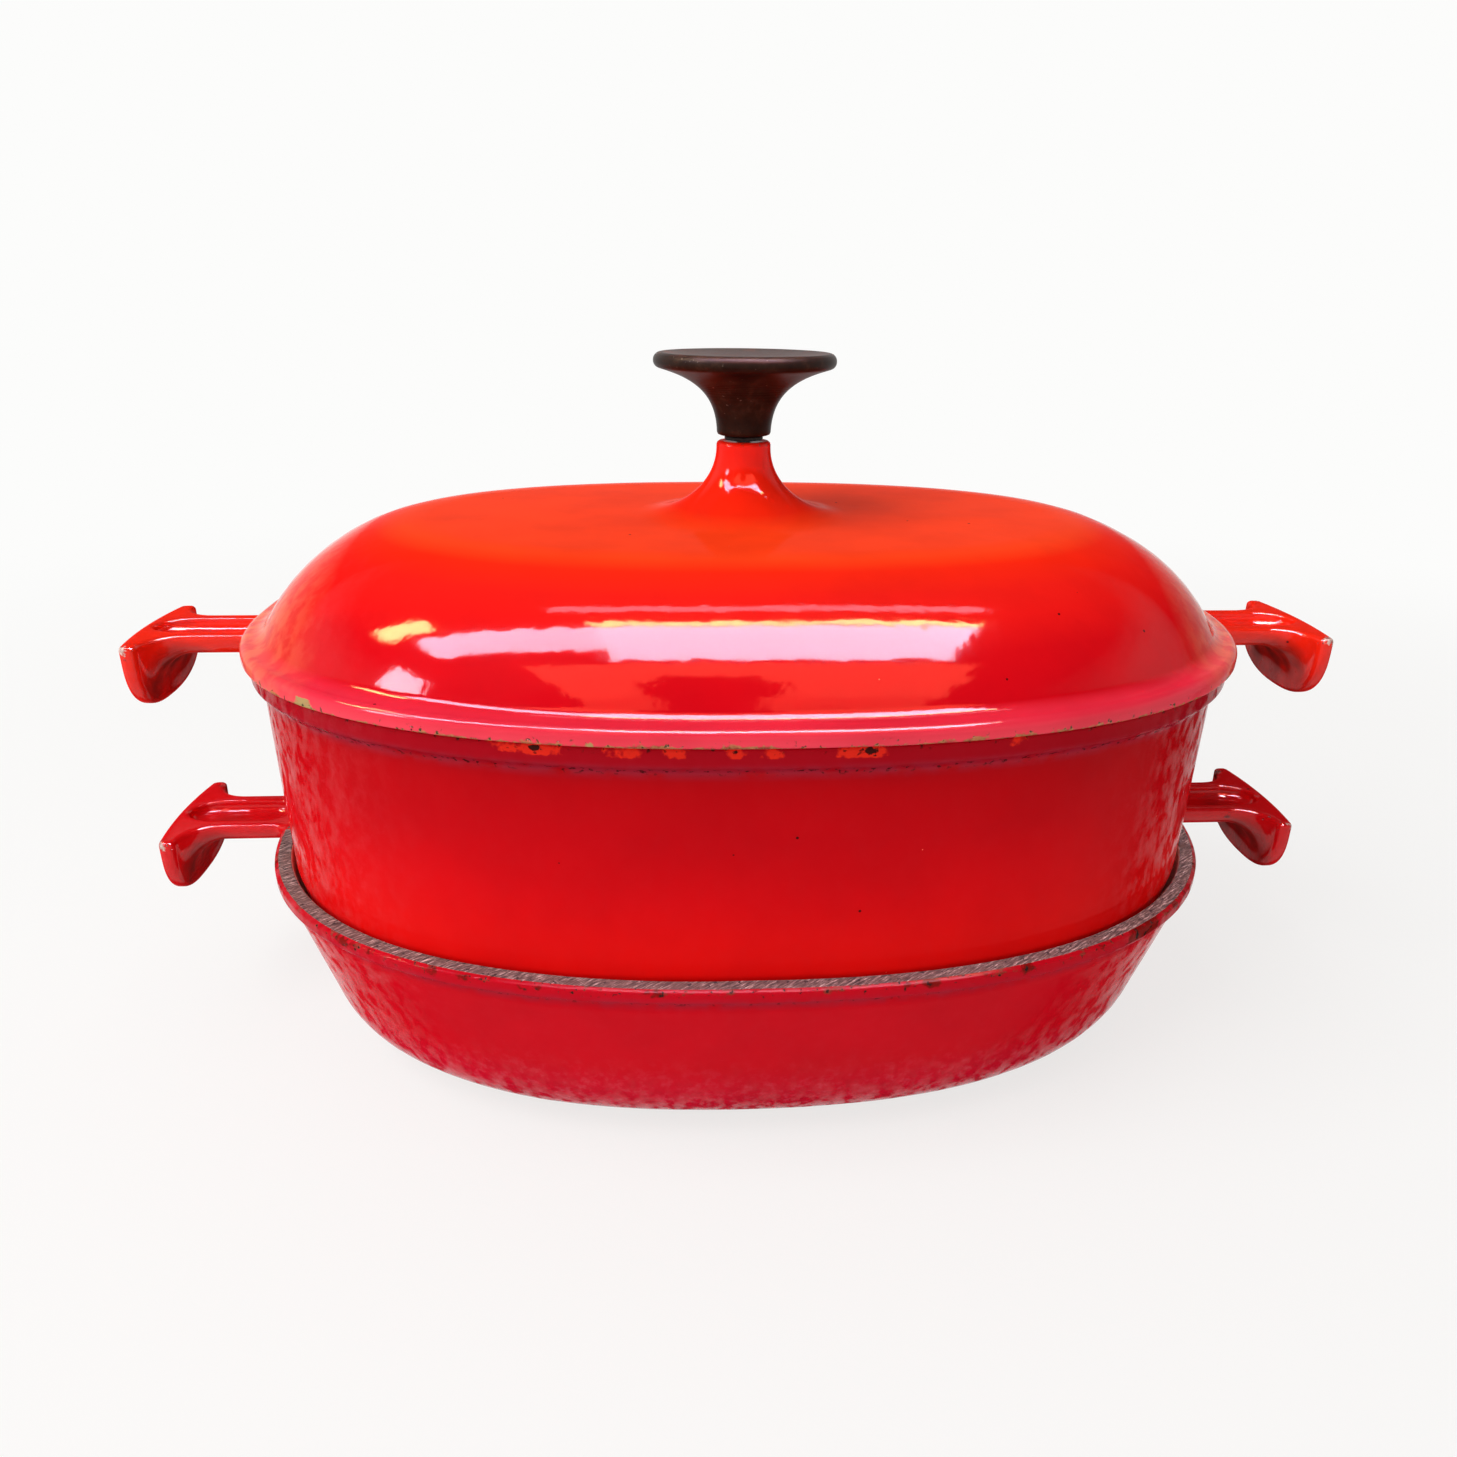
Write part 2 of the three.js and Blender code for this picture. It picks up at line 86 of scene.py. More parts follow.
# Pot.
POT_RIM_Z = POT_HIGH[2]
POT_BASE_Z = POT_LOW[2]
POT_LIP_SETBACK = HALF_WIDTH - POT_HIGH[1]
POT_LIP_REACH = 3.2
POT_LIP_HEIGHT = 7.4
NEST_CLEARANCE = 1.0
POT_WALL_INSET = POT_LIP_SETBACK + POT_LIP_REACH

# Lid.
RING_DEPTH = 5.0
RING_WIDTH = 3.5
LID_FIT_CLEARANCE = 1.0
SEAM_Z = LID_LOW[2] + RING_DEPTH
FLANGE_THICKNESS = 5.0
FLANGE_TOP_Z = SEAM_Z + FLANGE_THICKNESS
DOME_RADIUS = 57.0
DOME_FOOT_SLOPE = math.radians(58.5)
DOME_FOOT_INSET = 6.05
LID_HEIGHT = 36.2
CROWN_Z = SEAM_Z + LID_HEIGHT
STEM_TOP_Z = LID_HIGH[2]
STEM_TOP_RADIUS = 8.9
STEM_FOOT_RADIUS = 36.0
STEM_BORE_RADIUS = 3.0
STEM_SEAT_RADIUS = 9.0
STEM_RECESS_DEPTH = 10.0
STEM_RECESS_RADIUS = 24.0
LID_UNDERSIDE_Z = CROWN_Z - WALL
STEM_SEAT_Z = LID_UNDERSIDE_Z + STEM_RECESS_DEPTH

# Handles.
HANDLE_OUTER_X = DISH_HIGH[0]
HANDLE_SPAN = 51.0
HANDLE_DROP = 25.0
POT_HANDLE_BELOW_RIM = 1.0
DISH_HANDLE_ABOVE_RIM = 0.05
SHANK_WIDTH = 25.0
SHANK_THICKNESS = 7.5
SHANK_EDGE = 6.0
PLATE_THICKNESS = 5.3
PLATE_SHOULDER = 5.0
TAIL_BOW = 2.2
TAIL_FILLET = 13.0
TIP_ROUND = 2.0
TOP_ROUND = 1.5
ROOT_FILLET = 4.5
GROOVE_WIDTH = 16.0
GROOVE_DEPTH = 4.4
GROOVE_END_WALL = 3.4
GROOVE_END_LENGTH = 11.0
GROOVE_START = 1.0
GROOVE_CORNER = 3.4
GROOVE_LIP = 1.0
WALL_SINK = 0.3
ROOT_DEPTH = 2.8
RIM_COVER_REACH = 5.0
RIM_COVER_THICKNESS = 0.5
ROOT_HALF_WIDTH = 30.0
ROOT_BELOW_PLATE = 1.0
HANDLE_CELL = 0.7
HANDLE_MARGIN = 2.0
HANDLE_BOX_INSET = 14.0

# Knob and its fixing.
KNOB_RADIUS = KNOB_HIGH[0]
KNOB_NECK_RADIUS = 8.7
KNOB_EDGE_HEIGHT = 4.8
KNOB_TOP_DISH = 1.6
KNOB_UNDER_ROUND = 2.2
KNOB_SHOULDER_ROUND = 2.4
INSERT_GAP = 0.3
INSERT_BORE_RADIUS = 2.8
SCREW_RADIUS = 2.5
SCREW_HEAD_HEIGHT = 3.2
THREAD_PITCH = 0.8
THREAD_DEPTH = 0.45
KNOB_SEGMENTS = 160
FIXING_SEGMENTS = 64

SRGB_KNEE = 0.04045


def linear(hex_code):
    """An sRGB hex colour as linear RGBA."""
    parts = [int(hex_code[i:i + 2], 16) / 255 for i in (1, 3, 5)]
    return [p / 12.92 if p <= SRGB_KNEE else ((p + 0.055) / 1.055) ** 2.4 for p in parts] + [1.0]


# Kinds of node that are used often. A map range takes a value, the two ends of the range that it lies in
# and the two ends of the range that it goes to.
MATH = "ShaderNodeMath"
VECTOR = "ShaderNodeVectorMath"
RANGE = "ShaderNodeMapRange"
MIX = "ShaderNodeMix"
RAMP = "ShaderNodeValToRGB"
SPLIT = "ShaderNodeSeparateXYZ"
NOISE = "ShaderNodeTexNoise"
BUMP = "ShaderNodeBump"
ATTRIBUTE = "ShaderNodeAttribute"


def add(tree, kind, inputs=(), stops=(), **settings):
    """Adds a node. Inputs, by name or in order, take a value, a socket or a node, whose first output is
    meant. Stops are a colour ramp's positions, each with a hex colour or a grey value, and settings are
    the node's properties."""
    node = tree.nodes.new(kind)
    for name, value in settings.items():
        setattr(node, name, value)
    for key, value in inputs.items() if isinstance(inputs, dict) else enumerate(inputs):
        if isinstance(key, int):
            socket = node.inputs[key]
        else:
            socket = next(s for s in node.inputs if s.enabled and s.name == key)
        if isinstance(value, bpy.types.Node):
            value = next(s for s in value.outputs if s.enabled)
        if isinstance(value, bpy.types.NodeSocket):
            tree.links.new(value, socket)
        else:
            socket.default_value = value
    for index, (position, colour) in enumerate(stops):
        elements = node.color_ramp.elements
        element = elements[index] if index < 2 else elements.new(position)
        element.position = position
        element.color = linear(colour) if isinstance(colour, str) else (colour, colour, colour, 1.0)
    return node


def millimetres(tree):
    """Object coordinates in millimetres."""
    coordinates = add(tree, "ShaderNodeTexCoord").outputs["Object"]
    return add(tree, VECTOR, {0: coordinates, 3: 1 / MM}, operation="SCALE")


def new_material(name):
    """An empty material and its node tree."""
    material = bpy.data.materials.new(name)
    material.use_nodes = True
    material.node_tree.nodes.clear()
    return material, material.node_tree


def end_in_principled(tree, sockets):
    """Ends a material in one Principled shader."""
    shader = add(tree, "ShaderNodeBsdfPrincipled", sockets)
    add(tree, "ShaderNodeOutputMaterial", {"Surface": shader})


# Red enamel: widths of its patches, grains, flecks, runs and ripples, depths of ripples and chips, where the
# coat is rough, and where its ends have a painted peach reflection and more gloss, counted from the middle
# and the floor, and its gloss.
SPRAY_PATCH = 30.0
COARSE_GRAIN = 6.0
FINE_GRAIN = 1.5
FLECK_WIDTH = 3.0
FILM_RUN_WIDTH = 4.0
PEEL_WIDTH = 4.0
PEEL_DEPTH = 0.15
CHIP_DEPTH = 0.3
ROUGH_ENDS = (86.0, 158.0)
ROUGH_BASE = (44.0, 6.0)
ENDS_WITH_SHEEN = (120.0, 156.0)
FILM_GLOSS = 0.0005
FILM_SHEEN = 0.8
FILM_DULLNESS = 4.0
ENAMEL_IOR = 1.48
WET_ROUGHNESS = 0.07
DRY_ROUGHNESS = 0.5

# What shows where a coat is worn: dull and pale tones of a thin edge, broken glass, and the bare ground.
Wear = namedtuple("Wear", "thin pale broken bare")


def flecks_and_glints(tree, place, rough_coat, fleck_and_glint):
    """Flecks of darker glass, and paler flecks that are painted glints off the rippled coat, as layers of
    (share, tint).
    """
    flecks = add(tree, NOISE, {"Vector": place, "Scale": 1 / FLECK_WIDTH, "Detail": 3.0, "Roughness": 0.6})
    most = add(tree, MATH, [rough_coat, fleck_and_glint], operation="MULTIPLY")
    return [(add(tree, RANGE, [flecks, start, full, 0.0, most]), tint)
            for start, full, tint in ((0.46, 0.36, "#7c0818"), (0.52, 0.66, "#dc7088"))]


def dried_film(tree, place, rough_coat, haze):
    """How far upright runs of dried film cover the coat."""
    upright = add(tree, VECTOR, [place, (1.0, 1.0, 0.6)], operation="MULTIPLY")
    runs = add(tree, NOISE, {
        "Vector": upright, "Scale": 1 / FILM_RUN_WIDTH, "Detail": 4.0, "Roughness": 0.55})
    most = add(tree, MATH, [rough_coat, haze], operation="MULTIPLY")
    return add(tree, RANGE, [runs, 0.43, 0.71, 0.0, most])


def cove_sheen_and_specks(tree, height, cove_z, coarse, fine):
    """Layers in the cove under a lip: a patchy purplish band that is painted sheen, and burnt specks that
    washing leaves.
    """
    off = add(tree, MATH, [height, cove_z], operation="SUBTRACT")
    off = add(tree, MATH, [off], operation="ABSOLUTE")
    layers = []
    # The first layer is the purplish painted sheen, the second the burnt specks.
    for pattern, start, full, widest, most, tint in ((coarse, 0.3, 0.55, 3.4, 0.5, "#8c2c42"),
                                                     (fine, 0.58, 0.62, 1.6, 0.85, "#2a0808")):
        beside = add(tree, RANGE, [off, widest, 0.5, 0.0, most])
        layers.append((add(tree, RANGE, [pattern, start, full, 0.0, beside]), tint))
    return layers


def pinholes_and_dust(tree, place):
    """Layers of pinholes about 0.8 mm across, in one cell of five on a 9 mm grid, and of paler dust specks
    half as wide, in one cell of seven on a 7 mm grid."""
    layers = []
    for pitch, size, rarity, tint in ((9, 0.045, 0.8, "#3a0a08"), (7, 0.028, 0.86, "#f0705c")):
        cells = add(tree, "ShaderNodeTexVoronoi", {"Vector": place, "Scale": 1 / pitch})
        near = add(tree, MATH, [cells.outputs["Distance"], size], operation="LESS_THAN")
        lot = add(tree, "ShaderNodeSeparateColor", [cells.outputs["Color"]])
        rare = add(tree, MATH, [lot, rarity], operation="GREATER_THAN")
        layers.append((add(tree, MATH, [near, rare], operation="MULTIPLY"), tint))
    return layers


def edge_damage(tree, coarse, fine, wear):
    """Three layers: edges where the coat is worn thin and uneven, then broken glass where knocks are likely
    and an edge is near, and then bare ground in its middle and in small specks between."""
    uneven = add(tree, MATH, [add(tree, RANGE, [coarse, 0.3, 0.7, -0.26, 0.26]),
                              add(tree, RANGE, [fine, 0.3, 0.7, -0.16, 0.16])])
    trim = add(tree, ATTRIBUTE, attribute_name="trim")
    edge = add(tree, SPLIT, [trim.outputs["Vector"]]).outputs["Z"]
    worn = add(tree, RANGE, [add(tree, MATH, [edge, uneven]), 0.86, 1.02, 0.0, 0.85])
    thin = add(tree, RAMP, [fine], [(0.38, wear.thin), (0.6, wear.pale)])
    chips = add(tree, ATTRIBUTE, attribute_name="chips").outputs["Fac"]
    by_edge = add(tree, RANGE, [edge, 0.02, 0.2])
    knocks = add(tree, MATH, [add(tree, MATH, [chips, uneven]), by_edge], operation="MULTIPLY")
    broken = add(tree, RANGE, [knocks, 0.42, 0.66])
    specks = add(tree, RANGE, [fine, 0.63, 0.67, 0.0, add(tree, RANGE, [edge, 0.3, 0.6])])
    bare = add(tree, MATH, [add(tree, RANGE, [knocks, 0.92, 1.0]), specks], operation="MAXIMUM")
    return [(worn, thin), (broken, wear.broken), (bare, wear.bare)]


def fat_dimmed_gloss(tree, reach, film, gloss, end_gloss):
    """Fat takes the gloss away where the surface is seen edge on, but for the wiped ends and the dried film,
    which has a dull sheen of its own."""
    facing = add(tree, "ShaderNodeLayerWeight", {"Blend": 0.5}).outputs["Facing"]
    level = add(tree, RAMP, [facing], [(0.4, gloss), (0.6, FILM_GLOSS)])
    sheen = add(tree, MATH, [film, FILM_SHEEN], operation="MULTIPLY")
    for other in (add(tree, RANGE, [reach, *ENDS_WITH_SHEEN, 0.0, end_gloss]), sheen):
        level = add(tree, MATH, [level, other], operation="MAXIMUM")
    return level


def peel_and_chips(tree, place, rough_coat, bare):
    """Ripples like orange peel, strongest where the coat is rough, and chips sunk below the glass."""
    peel = add(tree, NOISE, {"Vector": place, "Scale": 1 / PEEL_WIDTH, "Detail": 2.0})
    strength = add(tree, RANGE, [rough_coat, 0.0, 1.0, 0.35, 1.0])
    ripple = add(tree, BUMP, {"Height": peel, "Distance": PEEL_DEPTH * MM, "Strength": strength})
    return add(tree, BUMP, {
        "Height": bare, "Distance": CHIP_DEPTH * MM, "Strength": 0.8, "Normal": ripple}, invert=True)


def red_vitreous_enamel(name, low_z, high_z, tones, wear, gloss, haze, fleck_and_glint, cove_z=None, peach_sheen=0.0,
                        end_gloss=0.0):
    """Coloured glass fused on cast iron: deep wet red, rippled low down and at the ends, with dried film,
    grime, pinholes, dust specks, worn edges and chips. Some colour is painted light: reflections in the lid's
    tones, its peach ends, the pale flecks, part of the film's pink and the cove's purplish band; shade on the
    pot's upper wall, in the coves and behind the handles' plates; and light on the handles' upper parts.
    Gloss is the reflection left by a film of old fat."""
    material, tree = new_material(name)
    place = millimetres(tree)
    axes = add(tree, SPLIT, [place]).outputs
    spray, coarse, fine = (add(tree, NOISE, {"Vector": place, "Scale": 1 / width, "Detail": 3.0})
                           for width in (SPRAY_PATCH, COARSE_GRAIN, FINE_GRAIN))
    # The coat is roughest towards the two ends and the base.
    reach = add(tree, MATH, [axes["X"]], operation="ABSOLUTE")
    ends = add(tree, RANGE, [reach, *ROUGH_ENDS, 0.04], interpolation_type="SMOOTHSTEP")
    base = add(tree, RANGE, [axes["Z"], *ROUGH_BASE], interpolation_type="SMOOTHSTEP")
    rough_coat = add(tree, MATH, [ends, base], operation="MAXIMUM")
    film = dried_film(tree, place, rough_coat, haze)
    # A painted peach reflection on the two ends, in patches.
    peach_sheen_depth = add(tree, RANGE, [coarse, 0.4, 0.62, 0.5 * peach_sheen, 1.4 * peach_sheen])
    # Baked-on grime behind the handles' plates, darkened further as painted shade in those hollows.
    grime_and_shade = add(tree, ATTRIBUTE, attribute_name="grime_and_shade").outputs["Fac"]
    grime_and_shade_depth = add(tree, RANGE, [coarse, 0.3, 0.6, 0.5, 0.92])
    grime_and_shade_share = add(tree, RANGE, [grime_and_shade, 0.15, 0.5, 0.0, grime_and_shade_depth])
    damage = edge_damage(tree, coarse, fine, wear)
    (worn, _), _, (bare, _) = damage
    layers = [
        (add(tree, RANGE, [spray, 0.4, 0.7, 0.0, 0.16]), "#8c0610"),
        # Painted peach reflection on the ends.
        (add(tree, RANGE, [reach, *ENDS_WITH_SHEEN, 0.0, peach_sheen_depth]), "#ee8c5c"),
        *flecks_and_glints(tree, place, rough_coat, fleck_and_glint),
        # Runs of dried film; their pale pink tint is partly painted sheen.
        (film, "#d88088"),
        *(cove_sheen_and_specks(tree, axes["Z"], cove_z, coarse, fine) if cove_z else ()),
        *pinholes_and_dust(tree, place),
        # Grime and painted shade in the hollows behind the handles' plates.
        (grime_and_shade_share, "#52221e"),
        *damage]
    colour = add(tree, RAMP, [add(tree, RANGE, [axes["Z"], low_z, high_z])], tones)
    for share, tint in layers:
        tint = linear(tint) if isinstance(tint, str) else tint
        colour = add(tree, MIX, {"Factor": share, "A": colour, "B": tint}, data_type="RGBA")
    # Wet glass, duller under film, grime and wear, dry on chips.
    dull = add(tree, MATH, [film, FILM_DULLNESS], operation="MULTIPLY")
    for share in (grime_and_shade_share, worn, bare):
        dull = add(tree, MATH, [dull, share], operation="MAXIMUM")
    end_in_principled(tree, {
        "Base Color": colour, "Roughness": add(tree, RANGE, [dull, 0.0, 1.0, WET_ROUGHNESS, DRY_ROUGHNESS]),
        "IOR": ENAMEL_IOR, "Specular IOR Level": fat_dimmed_gloss(tree, reach, film, gloss, end_gloss),
        "Normal": peel_and_chips(tree, place, rough_coat, bare)})
    return material


def cream_enamel():
    """Cream cooking enamel inside: smooth satin glass, faintly stained in patches about 22 mm wide."""
    material, tree = new_material("cream_vitreous_enamel")
    place = millimetres(tree)
    stain = add(tree, NOISE, {"Vector": place, "Scale": 1 / 22, "Detail": 5.0})
    speck = add(tree, NOISE, {"Vector": place, "Scale": 1 / 3, "Detail": 2.0})
    end_in_principled(tree, {
        "Base Color": add(tree, RAMP, [stain], [(0.4, "#e8decb"), (0.75, "#d9caab")]),
        "Roughness": add(tree, RANGE, [stain, 0.0, 1.0, 0.16, 0.36]),
        "IOR": ENAMEL_IOR, "Specular IOR Level": 0.15,
        "Normal": add(tree, BUMP, {"Height": speck, "Distance": 0.02 * MM, "Strength": 1.0})})
    return material


# Scratches on the ground rim are about 0.3 mm apart, drawn at 0.6 mm so that they show.
SCRATCH_PITCH = 0.6
SCRATCH_LENGTH = 4.0
SCRATCH_SLANT = math.radians(38)


def machined_iron():
    """Grey cast iron left bare where the rim was ground flat: slanting scratches, brown oxide, black pits."""
    material, tree = new_material("bare_ground_cast_iron")
    place = millimetres(tree)
    slanted = add(tree, "ShaderNodeMapping", {
        "Vector": place, "Rotation": (0.0, 0.0, SCRATCH_SLANT),
        "Scale": (SCRATCH_LENGTH, SCRATCH_PITCH, SCRATCH_LENGTH)}, vector_type="TEXTURE")
    marks = add(tree, NOISE, {"Vector": slanted, "Scale": 1.0, "Detail": 3.0, "Roughness": 0.7})
    oxide = add(tree, NOISE, {"Vector": place, "Scale": 1 / 7, "Detail": 5.0, "Roughness": 0.65})
    pits = add(tree, NOISE, {"Vector": place, "Scale": 1 / 1.6, "Detail": 2.0})
    pit_share = add(tree, RANGE, [pits, 0.35, 0.31])
    colour = add(tree, RAMP, [marks], [
        (0.38, "#1c1412"), (0.5, "#5a4a43"), (0.6, "#92827a"), (0.7, "#e2d8ce")])
    for share, tint in ((add(tree, RANGE, [oxide, 0.42, 0.66, 0.0, 0.7]), "#543c34"), (pit_share, "#140e0c")):
        colour = add(tree, MIX, {"Factor": share, "A": colour, "B": linear(tint)}, data_type="RGBA")
    scored = add(tree, BUMP, {"Height": marks, "Distance": 0.2 * MM, "Strength": 0.8})
    pitted = add(tree, BUMP, {"Height": pit_share, "Distance": 0.3 * MM, "Normal": scored}, invert=True)
    end_in_principled(tree, {
        "Base Color": colour, "Metallic": 0.12, "Specular IOR Level": 0.22,
        "Roughness": add(tree, RANGE, [oxide, 0.0, 1.0, 0.45, 0.7]), "Normal": pitted})
    return material


# Turning marks on the knob are about 0.3 mm apart, drawn at 0.8 mm so that they show.
TURNING_PITCH = 0.8


def phenolic():
    """Black-brown phenolic resin, moulded and turned: satin, with fine rings on top and pale scuffs."""
    material, tree = new_material("moulded_phenolic")
    place = millimetres(tree)
    axes = add(tree, SPLIT, [place]).outputs
    flat = add(tree, "ShaderNodeCombineXYZ", {"X": axes["X"], "Y": axes["Y"]})
    radius = add(tree, VECTOR, [flat], operation="LENGTH").outputs["Value"]
    turns = add(tree, MATH, [radius, 2 * math.pi / TURNING_PITCH], operation="MULTIPLY")
    rings = add(tree, MATH, [turns], operation="SINE")
    cloud = add(tree, NOISE, {"Vector": place, "Scale": 1 / 7, "Detail": 5.0, "Roughness": 0.65})
    resin = add(tree, RAMP, [cloud], [(0.3, "#1a0f0a"), (0.55, "#281a12"), (0.8, "#443024")])
    scuffs = add(tree, NOISE, {"Vector": place, "Scale": 1 / 1.6, "Detail": 3.0})
    scuffed = add(tree, RANGE, [scuffs, 0.68, 0.75, 0.0, 0.45])
    colour = add(tree, MIX, {"Factor": scuffed, "A": resin, "B": linear("#8d7d72")}, data_type="RGBA")
    end_in_principled(tree, {
        "Base Color": colour,
        "Roughness": add(tree, RANGE, [cloud, 0.0, 1.0, 0.3, 0.5]),
        "IOR": 1.55, "Specular IOR Level": 0.05,
        "Normal": add(tree, BUMP, {"Height": rings, "Distance": 0.012 * MM, "Strength": 1.0})})
    return material


def turned_metal(name, bright, tarnished, roughness):
    """Plain turned metal: soft gloss with patches of tarnish about 2.5 mm wide."""
    material, tree = new_material(name)
    tarnish = add(tree, NOISE, {"Vector": millimetres(tree), "Scale": 1 / 2.5, "Detail": 4.0})
    end_in_principled(tree, {
        "Base Color": add(tree, RAMP, [tarnish], [(0.3, bright), (0.75, tarnished)]), "Metallic": 1.0,
        "Roughness": add(tree, RANGE, [tarnish, 0.0, 1.0, roughness, roughness + 0.2])})
    return material


def black_fibre():
    """Pressed fibre: matt black with a felted grain about 0.8 mm wide."""
    material, tree = new_material("pressed_black_fibre")
    felt = add(tree, NOISE, {"Vector": millimetres(tree), "Scale": 1 / 0.8, "Detail": 4.0})
    end_in_principled(tree, {
        "Base Color": add(tree, RAMP, [felt], [(0.35, "#0d0b0a"), (0.7, "#2a2522")]), "Roughness": 0.75,
        "Normal": add(tree, BUMP, {"Height": felt, "Distance": 0.05 * MM})})
    return material


# Tones by height hold painted reflection: a pink flange, a dark band at the dome's foot and an orange crown.
LID_RED = red_vitreous_enamel(
    "red_enamel_lid", SEAM_Z, STEM_TOP_Z,
    [(0.0, "#e84456"), (0.08, "#e02c42"), (0.12, "#cc0716"), (0.3, "#d60a14"), (0.42, "#ea1614"),
     (0.5, "#ee1c14"), (0.57, "#f6260f"), (0.6, "#fc4218"), (0.66, "#f4280e"), (1.0, "#ea1c0c")],
    Wear("#5c3a1e", "#a87c4a", "#a8905c", "#4c3c26"), gloss=0.12, haze=0.0, fleck_and_glint=0.03, peach_sheen=0.46,
    end_gloss=0.035)
# Tones darken towards the lip: painted shade of the lid's flange, deepest in the cove under the lip.
POT_RED = red_vitreous_enamel(
    "red_enamel_pot", DISH_RIM_Z, POT_RIM_Z,
    [(0.0, "#dc0e0c"), (0.15, "#d80d0f"), (0.35, "#cf0a12"), (0.6, "#bc0812"), (0.8, "#b30710"),
     (0.88, "#ad0712"), (0.92, "#9c0a1a"), (1.0, "#a60a1a")],
    Wear("#7c1c12", "#c8301a", "#dc2a1c", "#3a1512"), gloss=0.022, haze=0.1, fleck_and_glint=0.06,
    cove_z=POT_RIM_Z - POT_LIP_HEIGHT)
# Tones darken in the cove under the lip, which is painted shade, and are darker and pinker towards the base.
DISH_RED = red_vitreous_enamel(
    "red_enamel_dish", 0.0, DISH_RIM_Z,
    [(0.0, "#ac1430"), (0.25, "#c2122e"), (0.5, "#c80a1c"), (0.88, "#c80a1c"), (0.92, "#b40c20"),
     (1.0, "#be0c1e")],
    Wear("#4a1a14", "#8a3a2c", "#7d1512", "#2e1c19"), gloss=0.022, haze=0.115, fleck_and_glint=0.18,
    cove_z=DISH_RIM_Z - DISH_LIP_HEIGHT)
# Tones grow brighter and more orange higher up, so that the handles' tops and the pot's handles look lit:
# painted light.
HANDLE_RED = red_vitreous_enamel(
    "red_enamel_handles", 0.0, POT_RIM_Z,
    [(0.0, "#b80c14"), (0.48, "#d01218"), (0.85, "#dc1a12"), (1.0, "#ec2812")],
    Wear("#5c524c", "#cfc6bc", "#7d1512", "#1e1513"), gloss=0.26, haze=0.0, fleck_and_glint=0.03)
CREAM = cream_enamel()
BARE_IRON = machined_iron()
PHENOLIC = phenolic()
BRASS = turned_metal("turned_brass", "#b98d45", "#7a5a2a", 0.25)
STEEL = turned_metal("turned_steel", "#9c9b98", "#66655f", 0.28)
FIBRE = black_fibre()

# A corner of a profile: how far in from the oval's edge, its height, its radius, the finish of the stretch
# that follows it, and how worn its edge is. A finish is given by its shares of bare iron and cream.
Corner = namedtuple("Corner", "inset z radius finish wear", defaults=("red", 0.0))
FINISHES = {"red": (0.0, 0.0), "iron": (1.0, 0.0), "cream": (0.0, 1.0)}
WEAR_REACH = 3.5
ARC_DEGREES = 6.0
SUPPORT = 0.6
LONGEST_STEP = 7.0


def stretch(start, end):
    """Points along a straight stretch, with one close to each end to hold the shading."""
    length = math.dist(start, end)
    if length < 3 * SUPPORT:
        return [start, end]
    count = max(1, math.ceil((length - 2 * SUPPORT) / LONGEST_STEP))
    shares = [0.0, *np.linspace(SUPPORT / length, 1 - SUPPORT / length, count + 1), 1.0]
    return [tuple(np.add(start, np.multiply(share, np.subtract(end, start)))) for share in shares]


def edge_wear(spot, corners):
    """How worn a spot on a profile is: most at a worn corner, and not at all beyond its reach."""
    return max((corner.wear * max(0.0, 1 - math.dist(spot, (corner.inset, corner.z)) / WEAR_REACH)
                for corner in corners if corner.wear), default=0.0)


def rounded_profile(corners):
    """Rows of (inset, z, iron, cream, wear) along straight stretches that meet in round corners."""
    rows = []
    last = (corners[0].inset, corners[0].z)
    finish = FINISHES[corners[0].finish]
    for before, here, after in zip(corners, corners[1:], corners[2:]):
        point = np.array([here.inset, here.z])
        back = np.subtract((before.inset, before.z), point)
        ahead = np.subtract((after.inset, after.z), point)
        back, ahead = back / np.linalg.norm(back), ahead / np.linalg.norm(ahead)
        turn = math.pi - math.acos(np.clip(back @ ahead, -1, 1))
        cut = here.radius * math.tan(turn / 2)
        arc_start = point + back * cut
        centre = point + (back + ahead) / np.linalg.norm(back + ahead) * here.radius / math.cos(turn / 2)
        rows += [(*spot, *finish) for spot in stretch(last, tuple(arc_start))]
        spoke = arc_start - centre
        side = np.sign(spoke[0] * back[1] - spoke[1] * back[0])
        steps = max(3, math.ceil(math.degrees(turn) / ARC_DEGREES))
        for step in range(steps + 1):
            angle = -side * turn * step / steps
            spin = np.array([[math.cos(angle), -math.sin(angle)], [math.sin(angle), math.cos(angle)]])
            paint = finish if step * 2 < steps else FINISHES[here.finish]
            rows.append((*(centre + spin @ spoke), *paint))
        finish = FINISHES[here.finish]
        last = tuple(rows[-1][:2])
    end = (corners[-1].inset, corners[-1].z)
    rows += [(*spot, *finish) for spot in stretch(last, end)]
    return [(*row, edge_wear(row[:2], corners)) for row in rows]


def oval_rings(rows):
    """Profile rows as rings of (half length, half width, z, iron, cream, wear)."""
    return [(HALF_LENGTH - row[0], HALF_WIDTH - row[0], *row[1:]) for row in rows]


FLOOR_SHARES = (0.75, 0.5, 0.25, 0.0)


def with_floors(rings):
    """Closes a shell's first and last ring with level floors."""
    below, above = ([(ring[0] * share, ring[1] * share, *ring[2:]) for share in FLOOR_SHARES]
                    for ring in (rings[0], rings[-1]))
    return below[::-1] + rings + above


def rings_between(first, last, count):
    """Rings that lead evenly from one ring to another."""
    return [tuple(np.add(first, np.multiply(share, np.subtract(last, first))))
            for share in np.linspace(0, 1, count + 2)[1:-1]]


def round_rings(points, finish="red", wear=0.0):
    """Rings of revolution from (radius, z) points."""
    return [(radius, radius, z, *FINISHES[finish], wear) for radius, z in points]


